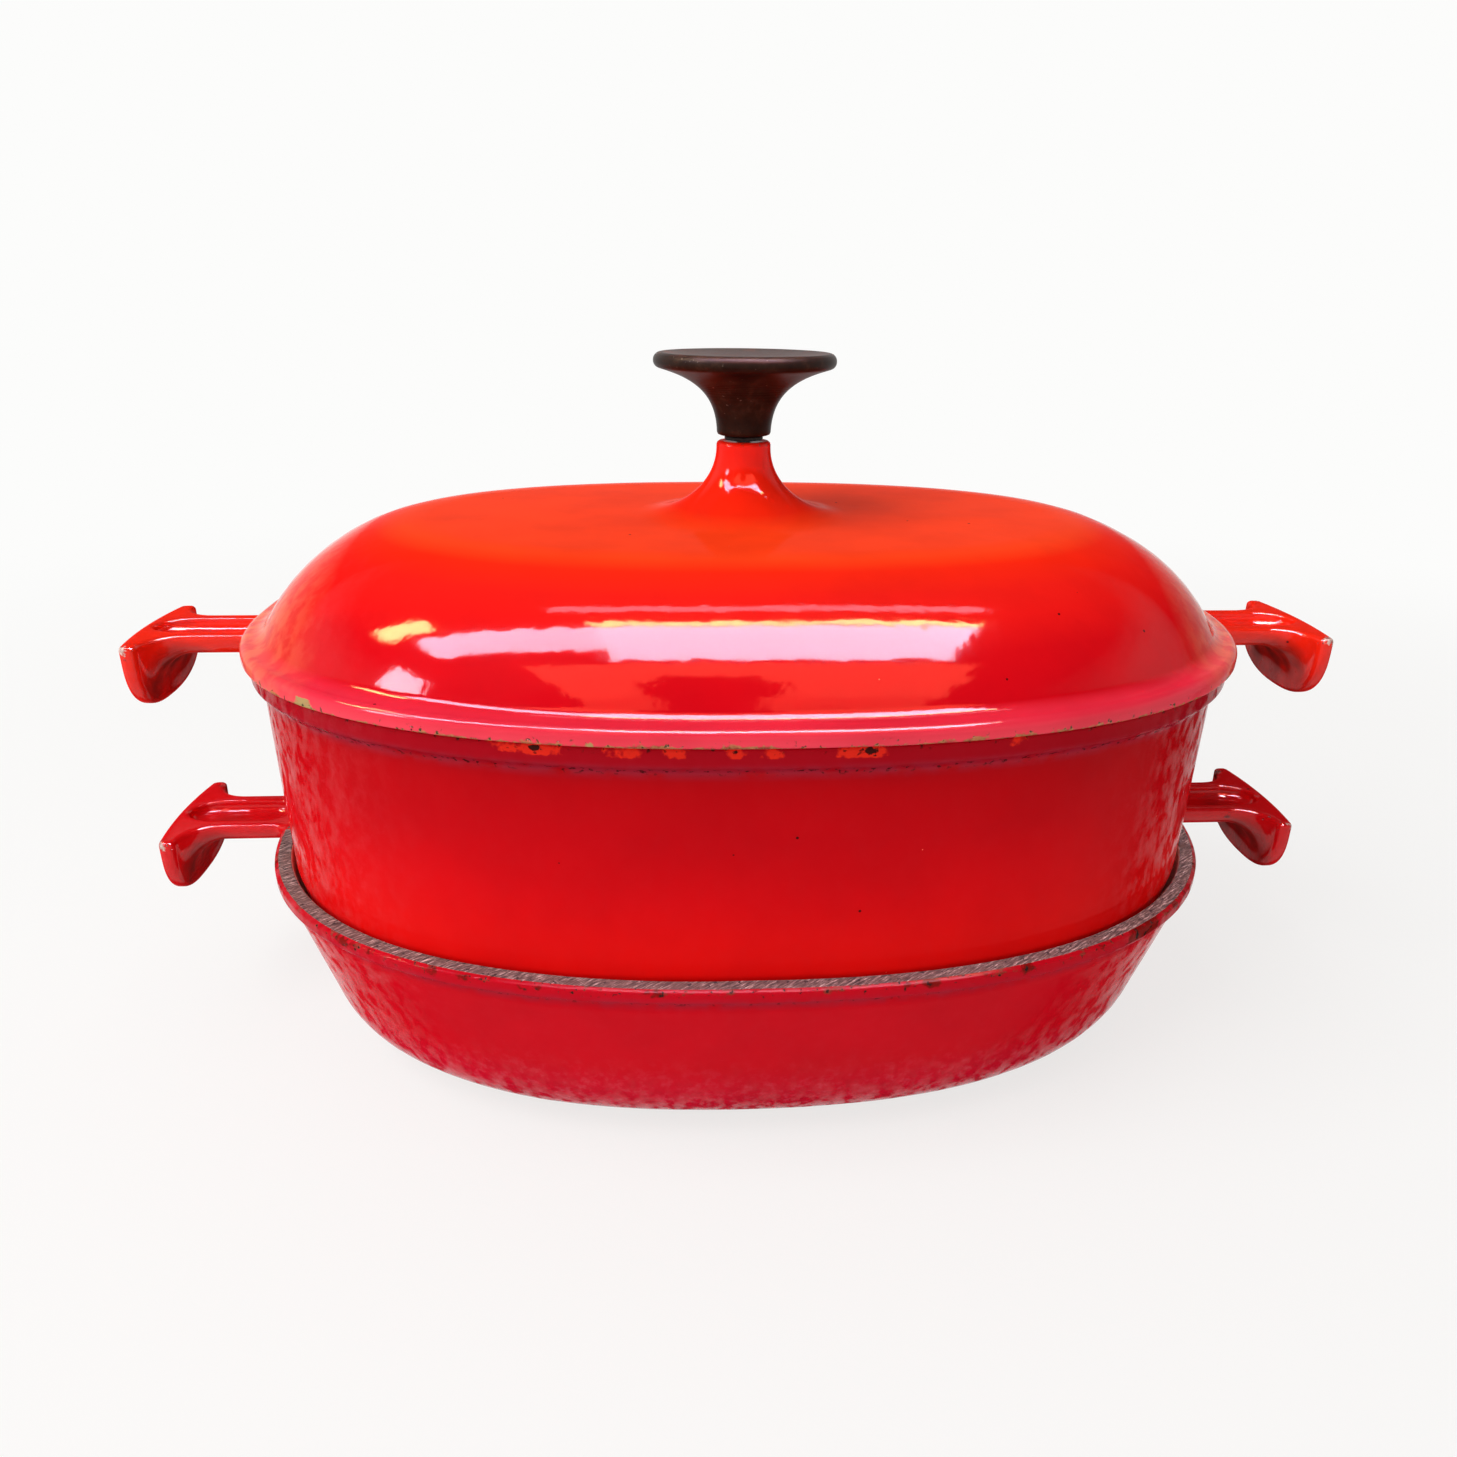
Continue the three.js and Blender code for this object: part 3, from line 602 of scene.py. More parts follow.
def cove(start, end, steps):
    """A concave quarter ellipse that leaves start level and meets end upright."""
    reach, rise = end[0] - start[0], end[1] - start[1]
    return [(start[0] + reach * math.sin(angle), start[1] + rise * (1 - math.cos(angle)))
            for angle in np.linspace(0, math.pi / 2, steps + 1)]


# A ring no wider for its length than the oval ratio has the oval's full exponent.
ROUND_EXPONENT = 2.0
OVAL_RATIO = 0.75
TINY = 1e-6


def oval_spot(tree, halves, turns, oval_exponent):
    """Where a point of a ring lies, at a share of a whole turn. The nearer the ring's two halves are to each
    other, the nearer its exponent is to a circle's."""
    length = add(tree, MATH, [halves["X"], TINY], operation="MAXIMUM")
    ratio = add(tree, MATH, [halves["Y"], length], operation="DIVIDE")
    exponent = add(tree, RANGE, [ratio, OVAL_RATIO, 1.0, oval_exponent, ROUND_EXPONENT])
    power = add(tree, MATH, [2.0, exponent], operation="DIVIDE")
    angle = add(tree, MATH, [turns, 2 * math.pi], operation="MULTIPLY")
    reach = {"Z": halves["Z"]}
    for axis, wave in (("X", "COSINE"), ("Y", "SINE")):
        share = add(tree, MATH, [angle], operation=wave)
        size = add(tree, MATH, [add(tree, MATH, [share], operation="ABSOLUTE"), power], operation="POWER")
        bent = add(tree, MATH, [add(tree, MATH, [share], operation="SIGN"), size], operation="MULTIPLY")
        reach[axis] = add(tree, MATH, [halves[axis], bent], operation="MULTIPLY")
    return add(tree, "ShaderNodeCombineXYZ", reach)


def sand_cast_waves(tree, shell, waviness, wave_size):
    """Sinks a shell's surface in the soft waves of a sand casting, so that it never stands proud."""
    pitch = add(tree, MATH, [1.0, wave_size], operation="DIVIDE")
    noise = add(tree, NOISE, {"Scale": pitch, "Detail": 1.0})
    dip = add(tree, MATH, [noise, 1.0], operation="SUBTRACT")
    swell = add(tree, MATH, [dip, waviness], operation="MULTIPLY")
    offset = add(tree, VECTOR, {0: add(tree, "GeometryNodeInputNormal"), 3: swell}, operation="SCALE")
    return add(tree, "GeometryNodeSetPosition", {"Geometry": shell, "Offset": offset})


def oval_shell_tree():
    """Geometry Nodes that sweep a profile round the oval. A profile point holds its ring's half length,
    half width and height as its position, and a ring whose two halves are alike is round."""
    tree = bpy.data.node_groups.new("oval_shell", "GeometryNodeTree")
    tree.interface.new_socket("Profile", in_out="INPUT", socket_type="NodeSocketGeometry")
    for name, kind in (("Segments", "Int"), ("Exponent", "Float"), ("Waviness", "Float"),
                       ("Wave Size", "Float"), ("Outside", "Material"), ("Rim", "Material"),
                       ("Inside", "Material")):
        tree.interface.new_socket(name, in_out="INPUT", socket_type="NodeSocket" + kind)
    tree.interface.new_socket("Shell", in_out="OUTPUT", socket_type="NodeSocketGeometry")
    inputs = add(tree, "NodeGroupInput").outputs
    profile = inputs["Profile"]
    # A grid with a row for each profile point, whose columns go once round.
    count = add(tree, "GeometryNodeAttributeDomainSize", {"Geometry": profile}).outputs["Point Count"]
    across = add(tree, MATH, [inputs["Segments"], 1.0])
    grid = add(tree, "GeometryNodeMeshGrid", {"Vertices X": count, "Vertices Y": across}).outputs["Mesh"]
    index = add(tree, "GeometryNodeInputIndex")
    row = add(tree, MATH, [add(tree, MATH, [index, 0.5]), across], operation="DIVIDE")
    row = add(tree, MATH, [row], operation="FLOOR")
    before = add(tree, MATH, [row, across], operation="MULTIPLY")
    column = add(tree, MATH, [index, before], operation="SUBTRACT")
    turns = add(tree, MATH, [column, inputs["Segments"]], operation="DIVIDE")
    trim_of_point = add(tree, "GeometryNodeInputNamedAttribute", {"Name": "trim"}, data_type="FLOAT_VECTOR")
    ring, trim = (add(tree, "GeometryNodeSampleIndex", {"Geometry": profile, "Value": value, "Index": row},
                      data_type="FLOAT_VECTOR")
                  for value in (add(tree, "GeometryNodeInputPosition"), trim_of_point))
    spot = oval_spot(tree, add(tree, SPLIT, [ring]).outputs, turns, inputs["Exponent"])
    shell = add(tree, "GeometryNodeStoreNamedAttribute", {"Geometry": grid, "Name": "trim", "Value": trim},
                data_type="FLOAT_VECTOR", domain="POINT")
    shell = add(tree, "GeometryNodeSetPosition", {"Geometry": shell, "Position": spot})
    shell = add(tree, "GeometryNodeMergeByDistance", {"Geometry": shell, "Distance": TINY})
    shell = add(tree, "GeometryNodeFlipFaces", {"Mesh": shell})
    shell = sand_cast_waves(tree, shell, inputs["Waviness"], inputs["Wave Size"])
    shell = add(tree, "GeometryNodeSetShadeSmooth", {"Geometry": shell, "Shade Smooth": True})
    # The rim and the inside take their own finish where the profile says so.
    shell = add(tree, "GeometryNodeSetMaterial", {"Geometry": shell, "Material": inputs["Outside"]})
    finish = add(tree, SPLIT, [trim_of_point]).outputs
    for part, axis in (("Rim", "X"), ("Inside", "Y")):
        chosen = add(tree, "FunctionNodeCompare", {"A": finish[axis], "B": 0.6}, operation="GREATER_THAN")
        shell = add(tree, "GeometryNodeSetMaterial", {
            "Geometry": shell, "Selection": chosen, "Material": inputs[part]})
    shell = add(tree, "GeometryNodeRealizeInstances", {"Geometry": shell})
    add(tree, "NodeGroupOutput", {"Shell": shell})
    return tree


OVAL_SHELL = oval_shell_tree()


SAME_RING = 1e-4


def distinct(rings):
    """Drops rings that repeat the one before."""
    kept = [rings[0]]
    for ring in rings[1:]:
        if math.dist(ring[:3], kept[-1][:3]) > SAME_RING:
            kept.append(ring)
    return kept


def swept_piece(name, rings, outside, rim=None, inside=None, segments=OVAL_SEGMENTS, waviness=0.0,
                closed=False):
    """A piece made by the oval shell tree from its rings, turned to a plain mesh."""
    rings = distinct(rings)
    if closed:
        rings.append(rings[0])
    mesh = bpy.data.meshes.new(name)
    mesh.from_pydata([(a * MM, b * MM, z * MM) for a, b, z, *_ in rings], [], [])
    trim = mesh.attributes.new("trim", "FLOAT_VECTOR", "POINT")
    trim.data.foreach_set("vector", np.array([ring[3:] for ring in rings], np.float32).ravel())
    piece = bpy.data.objects.new(name, mesh)
    bpy.context.scene.collection.objects.link(piece)
    modifier = piece.modifiers.new("oval_shell", "NODES")
    modifier.node_group = OVAL_SHELL
    values = {"Segments": segments, "Exponent": OVAL_EXPONENT, "Waviness": waviness * MM,
              "Wave Size": WAVE_SIZE * MM, "Outside": outside, "Rim": rim or outside,
              "Inside": inside or outside}
    for socket in OVAL_SHELL.interface.items_tree:
        if socket.in_out == "INPUT" and socket.name in values:
            modifier[socket.identifier] = values[socket.name]
    graph = bpy.context.evaluated_depsgraph_get()
    plain = bpy.data.meshes.new_from_object(piece.evaluated_get(graph), preserve_all_data_layers=True,
                                            depsgraph=graph)
    piece.modifiers.clear()
    piece.data = plain
    plain.name = name
    return piece


def dish_rings():
    """Serving dish: flat base, large round corner, leaning wall, lip and ground rim, and the inside."""
    base_inset = DISH_LIP_REACH + DISH_WALL_TOP_Z * math.tan(DRAFT)
    lip_z = DISH_RIM_Z - DISH_LIP_HEIGHT
    inner_top = DISH_LIP_REACH + SIDE_THICKNESS
    inner_base = inner_top + (DISH_WALL_TOP_Z - FLOOR) * math.tan(DRAFT)
    rows = rounded_profile([
        Corner(FLAT_FLOOR_INSET, 0, 0),
        Corner(base_inset, 0, CORNER_RADIUS),
        Corner(DISH_LIP_REACH, DISH_WALL_TOP_Z, 8),
        Corner(DISH_LIP_REACH, lip_z, 2.4),
        Corner(0, lip_z + 1.2, 1.3),
        Corner(0, DISH_RIM_Z - 0.7, 0.9, "red", 0.85),
        Corner(1.3, DISH_RIM_Z, 0.9, "iron", 0.85),
        Corner(DISH_RIM_WIDTH, DISH_RIM_Z, 0.8, "cream"),
        Corner(inner_top, DISH_WALL_TOP_Z, 6, "cream"),
        Corner(inner_base, FLOOR, CORNER_RADIUS - WALL, "cream"),
        Corner(FLAT_FLOOR_INSET, FLOOR, 0, "cream"),
    ])
    return with_floors(oval_rings(rows))


def pot_rings():
    """Pot: drawn in where it nests in the dish, near-upright above, with a beaded lip."""
    nest = DISH_LIP_REACH + SIDE_THICKNESS + NEST_CLEARANCE / math.cos(DRAFT)
    base_inset = nest + (DISH_WALL_TOP_Z - POT_BASE_Z) * math.tan(DRAFT)
    shoulder = DISH_RIM_WIDTH + NEST_CLEARANCE
    lip_z = POT_RIM_Z - POT_LIP_HEIGHT
    floor_z = POT_BASE_Z + FLOOR
    inner_nest = nest + SIDE_THICKNESS
    inner_base = inner_nest + (DISH_WALL_TOP_Z - floor_z) * math.tan(DRAFT)
    rows = rounded_profile([
        Corner(FLAT_FLOOR_INSET, POT_BASE_Z, 0),
        Corner(base_inset, POT_BASE_Z, CORNER_RADIUS - WALL),
        Corner(nest, DISH_WALL_TOP_Z, 6),
        Corner(shoulder, DISH_RIM_Z, 10),
        Corner(POT_WALL_INSET, lip_z - 4, 20),
        Corner(POT_WALL_INSET - 0.3, lip_z - 0.6, 4.0),
        Corner(POT_LIP_SETBACK, lip_z + 1.8, 1.8),
        Corner(POT_LIP_SETBACK, POT_RIM_Z, 1.2, "cream", 0.7),
        Corner(POT_WALL_INSET + WALL, POT_RIM_Z, 1.0, "cream"),
        Corner(shoulder + WALL, DISH_RIM_Z, 10, "cream"),
        Corner(inner_nest, DISH_WALL_TOP_Z, 6, "cream"),
        Corner(inner_base, floor_z, CORNER_RADIUS - 2 * WALL, "cream"),
        Corner(FLAT_FLOOR_INSET, floor_z, 0, "cream"),
    ])
    return with_floors(oval_rings(rows))


FLANGE_FLAT = 5.0
# The rounded top of the stem: steps in from its side and down from its top.
STEM_NECK = ((0.0, 1.2), (0.25, 0.5), (0.9, 0.0), (2.0, 0.0))


def lid_rings():
    """Lid: thin flange, concave foot, domed shoulder and flared stem; cream and recessed below."""
    dome_corner = DOME_FOOT_INSET + (CROWN_Z - FLANGE_TOP_Z) / math.tan(DOME_FOOT_SLOPE)
    crown_inset = dome_corner + DOME_RADIUS * math.tan(DOME_FOOT_SLOPE / 2)
    ring_outer = POT_WALL_INSET + WALL + LID_FIT_CLEARANCE
    ring_inner = ring_outer + RING_WIDTH
    outside = oval_rings(rounded_profile([
        Corner(FLANGE_FLAT, SEAM_Z, 0),
        Corner(0, SEAM_Z, 0.8, "red", 1.1),
        Corner(0, FLANGE_TOP_Z, 2.6),
        Corner(DOME_FOOT_INSET, FLANGE_TOP_Z, 5.6),
        Corner(dome_corner, CROWN_Z, DOME_RADIUS),
        Corner(crown_inset + 1, CROWN_Z, 0),
    ]))
    flare = round_rings(cove((STEM_FOOT_RADIUS, CROWN_Z), (STEM_TOP_RADIUS, STEM_TOP_Z - 2), 22))
    neck = round_rings([(STEM_TOP_RADIUS - inset, STEM_TOP_Z - drop) for inset, drop in STEM_NECK], wear=0.45)
    bore = round_rings([(STEM_BORE_RADIUS, STEM_TOP_Z), (STEM_BORE_RADIUS, STEM_SEAT_Z)], "iron")
    recess = cove((STEM_RECESS_RADIUS, LID_UNDERSIDE_Z), (STEM_SEAT_RADIUS, STEM_SEAT_Z), 8)[::-1]
    recess = round_rings(recess, "cream")
    inner_radius = DOME_RADIUS - WALL
    lean = math.acos((crown_inset - ring_inner) / inner_radius)
    inner_corner = crown_inset - inner_radius * math.tan((math.pi / 2 - lean) / 2)
    inner_foot_z = CROWN_Z - DOME_RADIUS + inner_radius * math.sin(lean)
    inside = oval_rings(rounded_profile([
        Corner(crown_inset + 1, LID_UNDERSIDE_Z, 0, "cream"),
        Corner(inner_corner, LID_UNDERSIDE_Z, inner_radius - 3, "cream"),
        Corner(ring_inner, inner_foot_z, 3, "cream"),
        Corner(ring_inner, SEAM_Z - RING_DEPTH, 0.8, "cream"),
        Corner(ring_outer, SEAM_Z - RING_DEPTH, 0.8, "cream"),
        Corner(ring_outer, SEAM_Z, 0.5, "cream"),
        Corner(FLANGE_FLAT, SEAM_Z, 0, "cream"),
    ]))
    crown = rings_between(outside[-1], flare[0], 7)
    ceiling = rings_between(recess[-1], inside[0], 4)
    return outside + crown + flare + neck + bore + recess + ceiling + inside


def round_union(a, b, radius):
    """Two distance fields joined with a fillet."""
    fillet = np.hypot(np.maximum(radius - a, 0), np.maximum(radius - b, 0))
    return np.maximum(radius, np.minimum(a, b)) - fillet


def round_cut(a, b, radius):
    """Where two distance fields overlap, with a rounded edge."""
    edge = np.hypot(np.maximum(radius + a, 0), np.maximum(radius + b, 0))
    return np.minimum(-radius, np.maximum(a, b)) + edge


def oval_share(along, across):
    """How far out a point lies, as a share of an oval's half length and half width."""
    return (np.abs(along) ** OVAL_EXPONENT + np.abs(across) ** OVAL_EXPONENT) ** (1 / OVAL_EXPONENT)


# Turns a share of the plate's outline into millimetres.
PLATE_SCALE = HANDLE_SPAN / 2 - 1.0


def handle_body(x, y, depth):
    """Distance field of the +X handle by itself: a grooved shank that swells into a fish-tail plate."""
    half = HANDLE_SPAN / 2
    outer = x - HANDLE_OUTER_X + TAIL_BOW * (y / half) ** 2
    shank = round_cut(np.abs(y) - SHANK_WIDTH / 2, -SHANK_THICKNESS - depth, SHANK_EDGE)
    hang = np.maximum(-PLATE_SHOULDER - depth, 0) / (HANDLE_DROP - PLATE_SHOULDER)
    dee = (oval_share(y / half, hang) - 1) * PLATE_SCALE
    plate = round_cut(-PLATE_THICKNESS - outer, dee, TIP_ROUND)
    body = round_union(shank, plate, TAIL_FILLET)
    body = round_cut(body, outer, TIP_ROUND)
    body = round_cut(body, depth, TOP_ROUND)
    groove_half = GROOVE_WIDTH / 2
    straight_end = HANDLE_OUTER_X - GROOVE_END_WALL - GROOVE_END_LENGTH
    past = np.maximum(x - straight_end, 0) * groove_half / GROOVE_END_LENGTH
    before = np.maximum(HALF_LENGTH + GROOVE_START + groove_half - x, 0)
    plan = np.hypot(past + before, y) - groove_half
    groove = round_cut(plan, -GROOVE_DEPTH - depth, GROOVE_CORNER)
    return round_cut(body, -groove, GROOVE_LIP)


def handle_field(x, y, z, top_z, rim_z, wall_rows, cover):
    """Distance field of the +X handle with fillets into the casting's wall. With cover, a thin skin of its
    top reaches in over the casting's rim."""
    depth = z - top_z
    # The casting's own wall, just below its wavy surface, so that the fillet rises out of it.
    inset = np.interp(z, wall_rows[:, 1], wall_rows[:, 0])
    outside = np.hypot(x, y) * (1 - 1 / oval_share(x / (HALF_LENGTH - inset), y / (HALF_WIDTH - inset)))
    wall = np.maximum(outside + WALL_SINK, z - rim_z + WALL_SINK)
    joined = np.maximum(round_union(handle_body(x, y, depth), wall, ROOT_FILLET), depth)
    root = -outside - ROOT_DEPTH
    if cover:
        root = np.minimum(root, np.maximum(-outside - RIM_COVER_REACH, -RIM_COVER_THICKNESS - depth))
    ends = np.maximum(np.abs(y) - ROOT_HALF_WIDTH, -HANDLE_DROP - ROOT_BELOW_PLATE - depth)
    return np.maximum(np.maximum(joined, root), ends)


NET_PULLS = 3
NET_NUDGE = 0.02
LEAST_SLOPE = 0.2


def pulled_on(points, field):
    """Points moved along a field's slope on to its zero level."""
    for _ in range(NET_PULLS):
        here = field(*points.T)
        slope = np.stack([field(*(points + NET_NUDGE * axis).T) - here for axis in np.eye(3)], 1) / NET_NUDGE
        points = points - slope * (here / np.maximum((slope ** 2).sum(1), LEAST_SLOPE))[:, None]
    return points


def net_faces(inside, number):
    """A quad round each grid edge that crosses the level, between the points of its four cells."""
    shape = number.shape
    step = np.eye(3, dtype=int)
    quads = []
    for axis in range(3):
        u, v = (axis + 1) % 3, (axis + 2) % 3
        first = np.take(inside, range(shape[axis]), axis)
        second = np.take(inside, range(1, shape[axis] + 1), axis)
        for flag, order in ((first & ~second, 1), (~first & second, -1)):
            edges = np.argwhere(flag)
            for side in (u, v):
                edges = edges[(edges[:, side] > 0) & (edges[:, side] < shape[side])]
            ring = [edges - step[u] - step[v], edges - step[v], edges, edges - step[u]]
            quads.append(np.stack([number[tuple(cell.T)] for cell in ring][::order], 1))
    return np.concatenate(quads)


def surface_net(field, low, high, cell):
    """A closed quad mesh on a field's zero level: one point in each cell that the level crosses, at the
    middle of its crossings and then pulled on to the level."""
    axes = [np.arange(a, b + cell, cell) for a, b in zip(low, high)]
    values = field(*np.meshgrid(*axes, indexing="ij"))
    shape = np.array(values.shape) - 1
    corners = [(i, j, k) for i in (0, 1) for j in (0, 1) for k in (0, 1)]
    window = {c: values[c[0]:c[0] + shape[0], c[1]:c[1] + shape[1], c[2]:c[2] + shape[2]] for c in corners}
    total = np.zeros((*shape, 3))
    count = np.zeros(shape)
    for c in corners:
        for axis in range(3):
            if c[axis]:
                continue
            d = tuple(1 if n == axis else c[n] for n in range(3))
            a, b = window[c], window[d]
            crossed = (a < 0) != (b < 0)
            share = np.where(crossed, a / np.where(crossed, a - b, 1), 0)
            count += crossed
            for n in range(3):
                total[..., n] += np.where(crossed, c[n] + (share if n == axis else 0), 0)
    cells = np.argwhere(count > 0)
    at = tuple(cells.T)
    number = np.full(shape, -1)
    number[at] = np.arange(len(cells))
    points = (cells + total[at] / count[at][:, None]) * cell + np.array(low)
    return pulled_on(points, field), net_faces(values < 0, number)


def mesh_object(name, points, faces, material):
    """A smooth mesh object from points in millimetres."""
    mesh = bpy.data.meshes.new(name)
    mesh.from_pydata(points * MM, [], faces.tolist())
    mesh.materials.append(material)
    mesh.polygons.foreach_set("use_smooth", np.ones(len(faces), bool))
    mesh.update()
    piece = bpy.data.objects.new(name, mesh)
    bpy.context.scene.collection.objects.link(piece)
    return piece


def join_handles(casting, material, top_z, rim_z, rows, cover):
    """Adds a handle to each end of a casting; the far one is the near one turned half round."""
    wall_rows = np.array(sorted({(round(z, 4), inset) for inset, z, *_ in rows}))[:, ::-1]

    def field(x, y, z):
        return handle_field(x, y, z, top_z, rim_z, wall_rows, cover)

    across = ROOT_HALF_WIDTH + HANDLE_MARGIN
    low = (HALF_LENGTH - HANDLE_BOX_INSET, -across, top_z - HANDLE_DROP - HANDLE_MARGIN)
    high = (HANDLE_OUTER_X + HANDLE_MARGIN, across, top_z + HANDLE_MARGIN)
    points, faces = surface_net(field, low, high, HANDLE_CELL)
    right = mesh_object(casting.name + "_right", points, faces, material)
    left = mesh_object(casting.name + "_left", points * (-1, -1, 1), faces, material)
    with bpy.context.temp_override(active_object=casting, object=casting,
                                   selected_editable_objects=[casting, right, left]):
        bpy.ops.object.join()


WORN_TIP_STRENGTH = 1.25


def closeness(piece, spots):
    """How near each point of a piece is to the nearest of some (x, y, z, reach) spots: 1 at its middle and
    0 at its reach."""
    points = np.zeros(len(piece.data.vertices) * 3)
    piece.data.vertices.foreach_get("co", points)
    points = points.reshape(-1, 3) / MM
    level = np.zeros(len(points))
    for *spot, reach in spots:
        level = np.maximum(level, 1 - np.linalg.norm(points - spot, axis=1) / reach)
    return level


def mark_damage(piece, chips, worn=(), grime_and_shade=()):
    """Stores where chips are likely and where grime and painted shade go, and adds worn spots to the wear of
    the edges.
    """
    for name, spots in (("chips", chips), ("grime_and_shade", grime_and_shade)):
        level = closeness(piece, spots).astype(np.float32)
        piece.data.attributes.new(name, "FLOAT", "POINT").data.foreach_set("value", level)
    trim = np.zeros(len(piece.data.vertices) * 3, np.float32)
    piece.data.attributes["trim"].data.foreach_get("vector", trim)
    trim = trim.reshape(-1, 3)
    trim[:, 2] = np.maximum(trim[:, 2], WORN_TIP_STRENGTH * closeness(piece, worn))
    piece.data.attributes["trim"].data.foreach_set("vector", trim.ravel())


def on_oval(degrees, inset, z):
    """A point on the oval, at an angle from +X."""
    along, across = math.cos(math.radians(degrees)), math.sin(math.radians(degrees))
    bend = 2 / OVAL_EXPONENT
    return (math.copysign(abs(along) ** bend, along) * (HALF_LENGTH - inset),
            math.copysign(abs(across) ** bend, across) * (HALF_WIDTH - inset), z)


CHIP_SEED = 11
CHIP_SCATTER = 0.6
draw = np.random.default_rng(CHIP_SEED)


def edge_chips(count, inset, z, small, large, start=0.0, end=360.0):
    """Chips scattered along a stretch of an edge of the oval."""
    chips = []
    for _ in range(count):
        spot = on_oval(draw.uniform(start, end), inset, z + draw.uniform(-CHIP_SCATTER, CHIP_SCATTER))
        chips.append((*spot, draw.uniform(small, large)))
    return chips


TIP_X = HANDLE_OUTER_X - TAIL_BOW - 1.5
TIP_Y = HANDLE_SPAN / 2 - 1.2
TIP_BELOW_TOP = 0.8


def tips(top_z, side, reach):
    """The upper corners of a casting's two fish-tails at the front, side -1, or the back, side 1."""
    return [(end * TIP_X, side * TIP_Y, top_z - TIP_BELOW_TOP, reach) for end in (-1, 1)]


def pits_under_tips(top_z, reach):
    """The inner faces of the two far tips."""
    return [(end * (TIP_X - 3.5), TIP_Y - 1.5, top_z - 2.6, reach) for end in (-1, 1)]


# Where grime and painted shade darken the hollows behind the plates.
SHADED_HOLLOW_SETBACK = 16.0
SHADED_HOLLOW_BELOW_TOP = 17.0
SHADED_HOLLOW_REACH = 18.0


def behind_plates(top_z):
    """The hollows behind the two plates."""
    return [(end * (HANDLE_OUTER_X - SHADED_HOLLOW_SETBACK), y, top_z - SHADED_HOLLOW_BELOW_TOP, SHADED_HOLLOW_REACH)
            for end in (-1, 1) for y in (-12, 0, 12)]


def outer_rows(rings, low_z):
    """The outside of a swept profile as (inset, z) rows, up to its rim."""
    rows = []
    for a, b, z, *_ in rings:
        if z >= low_z and (not rows or z >= rows[-1][1]):
            rows.append((HALF_LENGTH - a, z))
        elif rows:
            break
    return rows


# Castings.
dish_profile = dish_rings()
dish_handle_top = DISH_RIM_Z + DISH_HANDLE_ABOVE_RIM
dish = swept_piece("dish_casting", dish_profile, DISH_RED, BARE_IRON, CREAM, waviness=0.3)
join_handles(dish, HANDLE_RED, dish_handle_top, DISH_RIM_Z, outer_rows(dish_profile, 20), True)
shank_knocks = [(HALF_LENGTH + 20, -SHANK_WIDTH / 2 + 1, DISH_RIM_Z - 2.5, 3.0),
                (HANDLE_OUTER_X - 7, -18.0, DISH_RIM_Z - 2.0, 3.0)]
large_knocks = [(*on_oval(degrees, 0.2, DISH_RIM_Z - 2), 9) for degrees in (-48, -45)]
mark_damage(
    dish,
    chips=(edge_chips(46, 0.1, DISH_RIM_Z - 0.8, 2.5, 4.5) + large_knocks + shank_knocks
           + pits_under_tips(dish_handle_top, 4.5)),
    worn=(tips(dish_handle_top, -1, 5.5) + pits_under_tips(dish_handle_top, 6.0)
          + [(*spot[:3], 4.5) for spot in shank_knocks]),
    grime_and_shade=behind_plates(dish_handle_top))

pot_profile = pot_rings()
pot_handle_top = POT_RIM_Z - POT_HANDLE_BELOW_RIM
pot = swept_piece("pot_casting", pot_profile, POT_RED, CREAM, CREAM, waviness=0.2)
join_handles(pot, HANDLE_RED, pot_handle_top, POT_RIM_Z, outer_rows(pot_profile, 90), False)
mark_damage(
    pot,
    chips=(edge_chips(10, POT_LIP_SETBACK, POT_RIM_Z - 1.5, 3, 5)
           + edge_chips(14, POT_LIP_SETBACK, POT_RIM_Z - 1.6, 3, 5.5, -112, -76)),
    worn=tips(pot_handle_top, -1, 5.5) + tips(pot_handle_top, 1, 4.0),
    grime_and_shade=behind_plates(pot_handle_top))

lid = swept_piece("lid_casting", lid_rings(), LID_RED, BARE_IRON, CREAM, waviness=0.2, closed=True)
mark_damage(lid, chips=edge_chips(6, 0.2, SEAM_Z, 2.4, 3.6) + [(*on_oval(-137, 0, SEAM_Z + 1), 6)])


def arc(radius, z, size, start, end, count):
    """Points of (radius, z) on an arc about a centre, between two angles up from level."""
    return [(radius + size * math.cos(angle), z + size * math.sin(angle))
            for angle in np.linspace(start, end, count)]


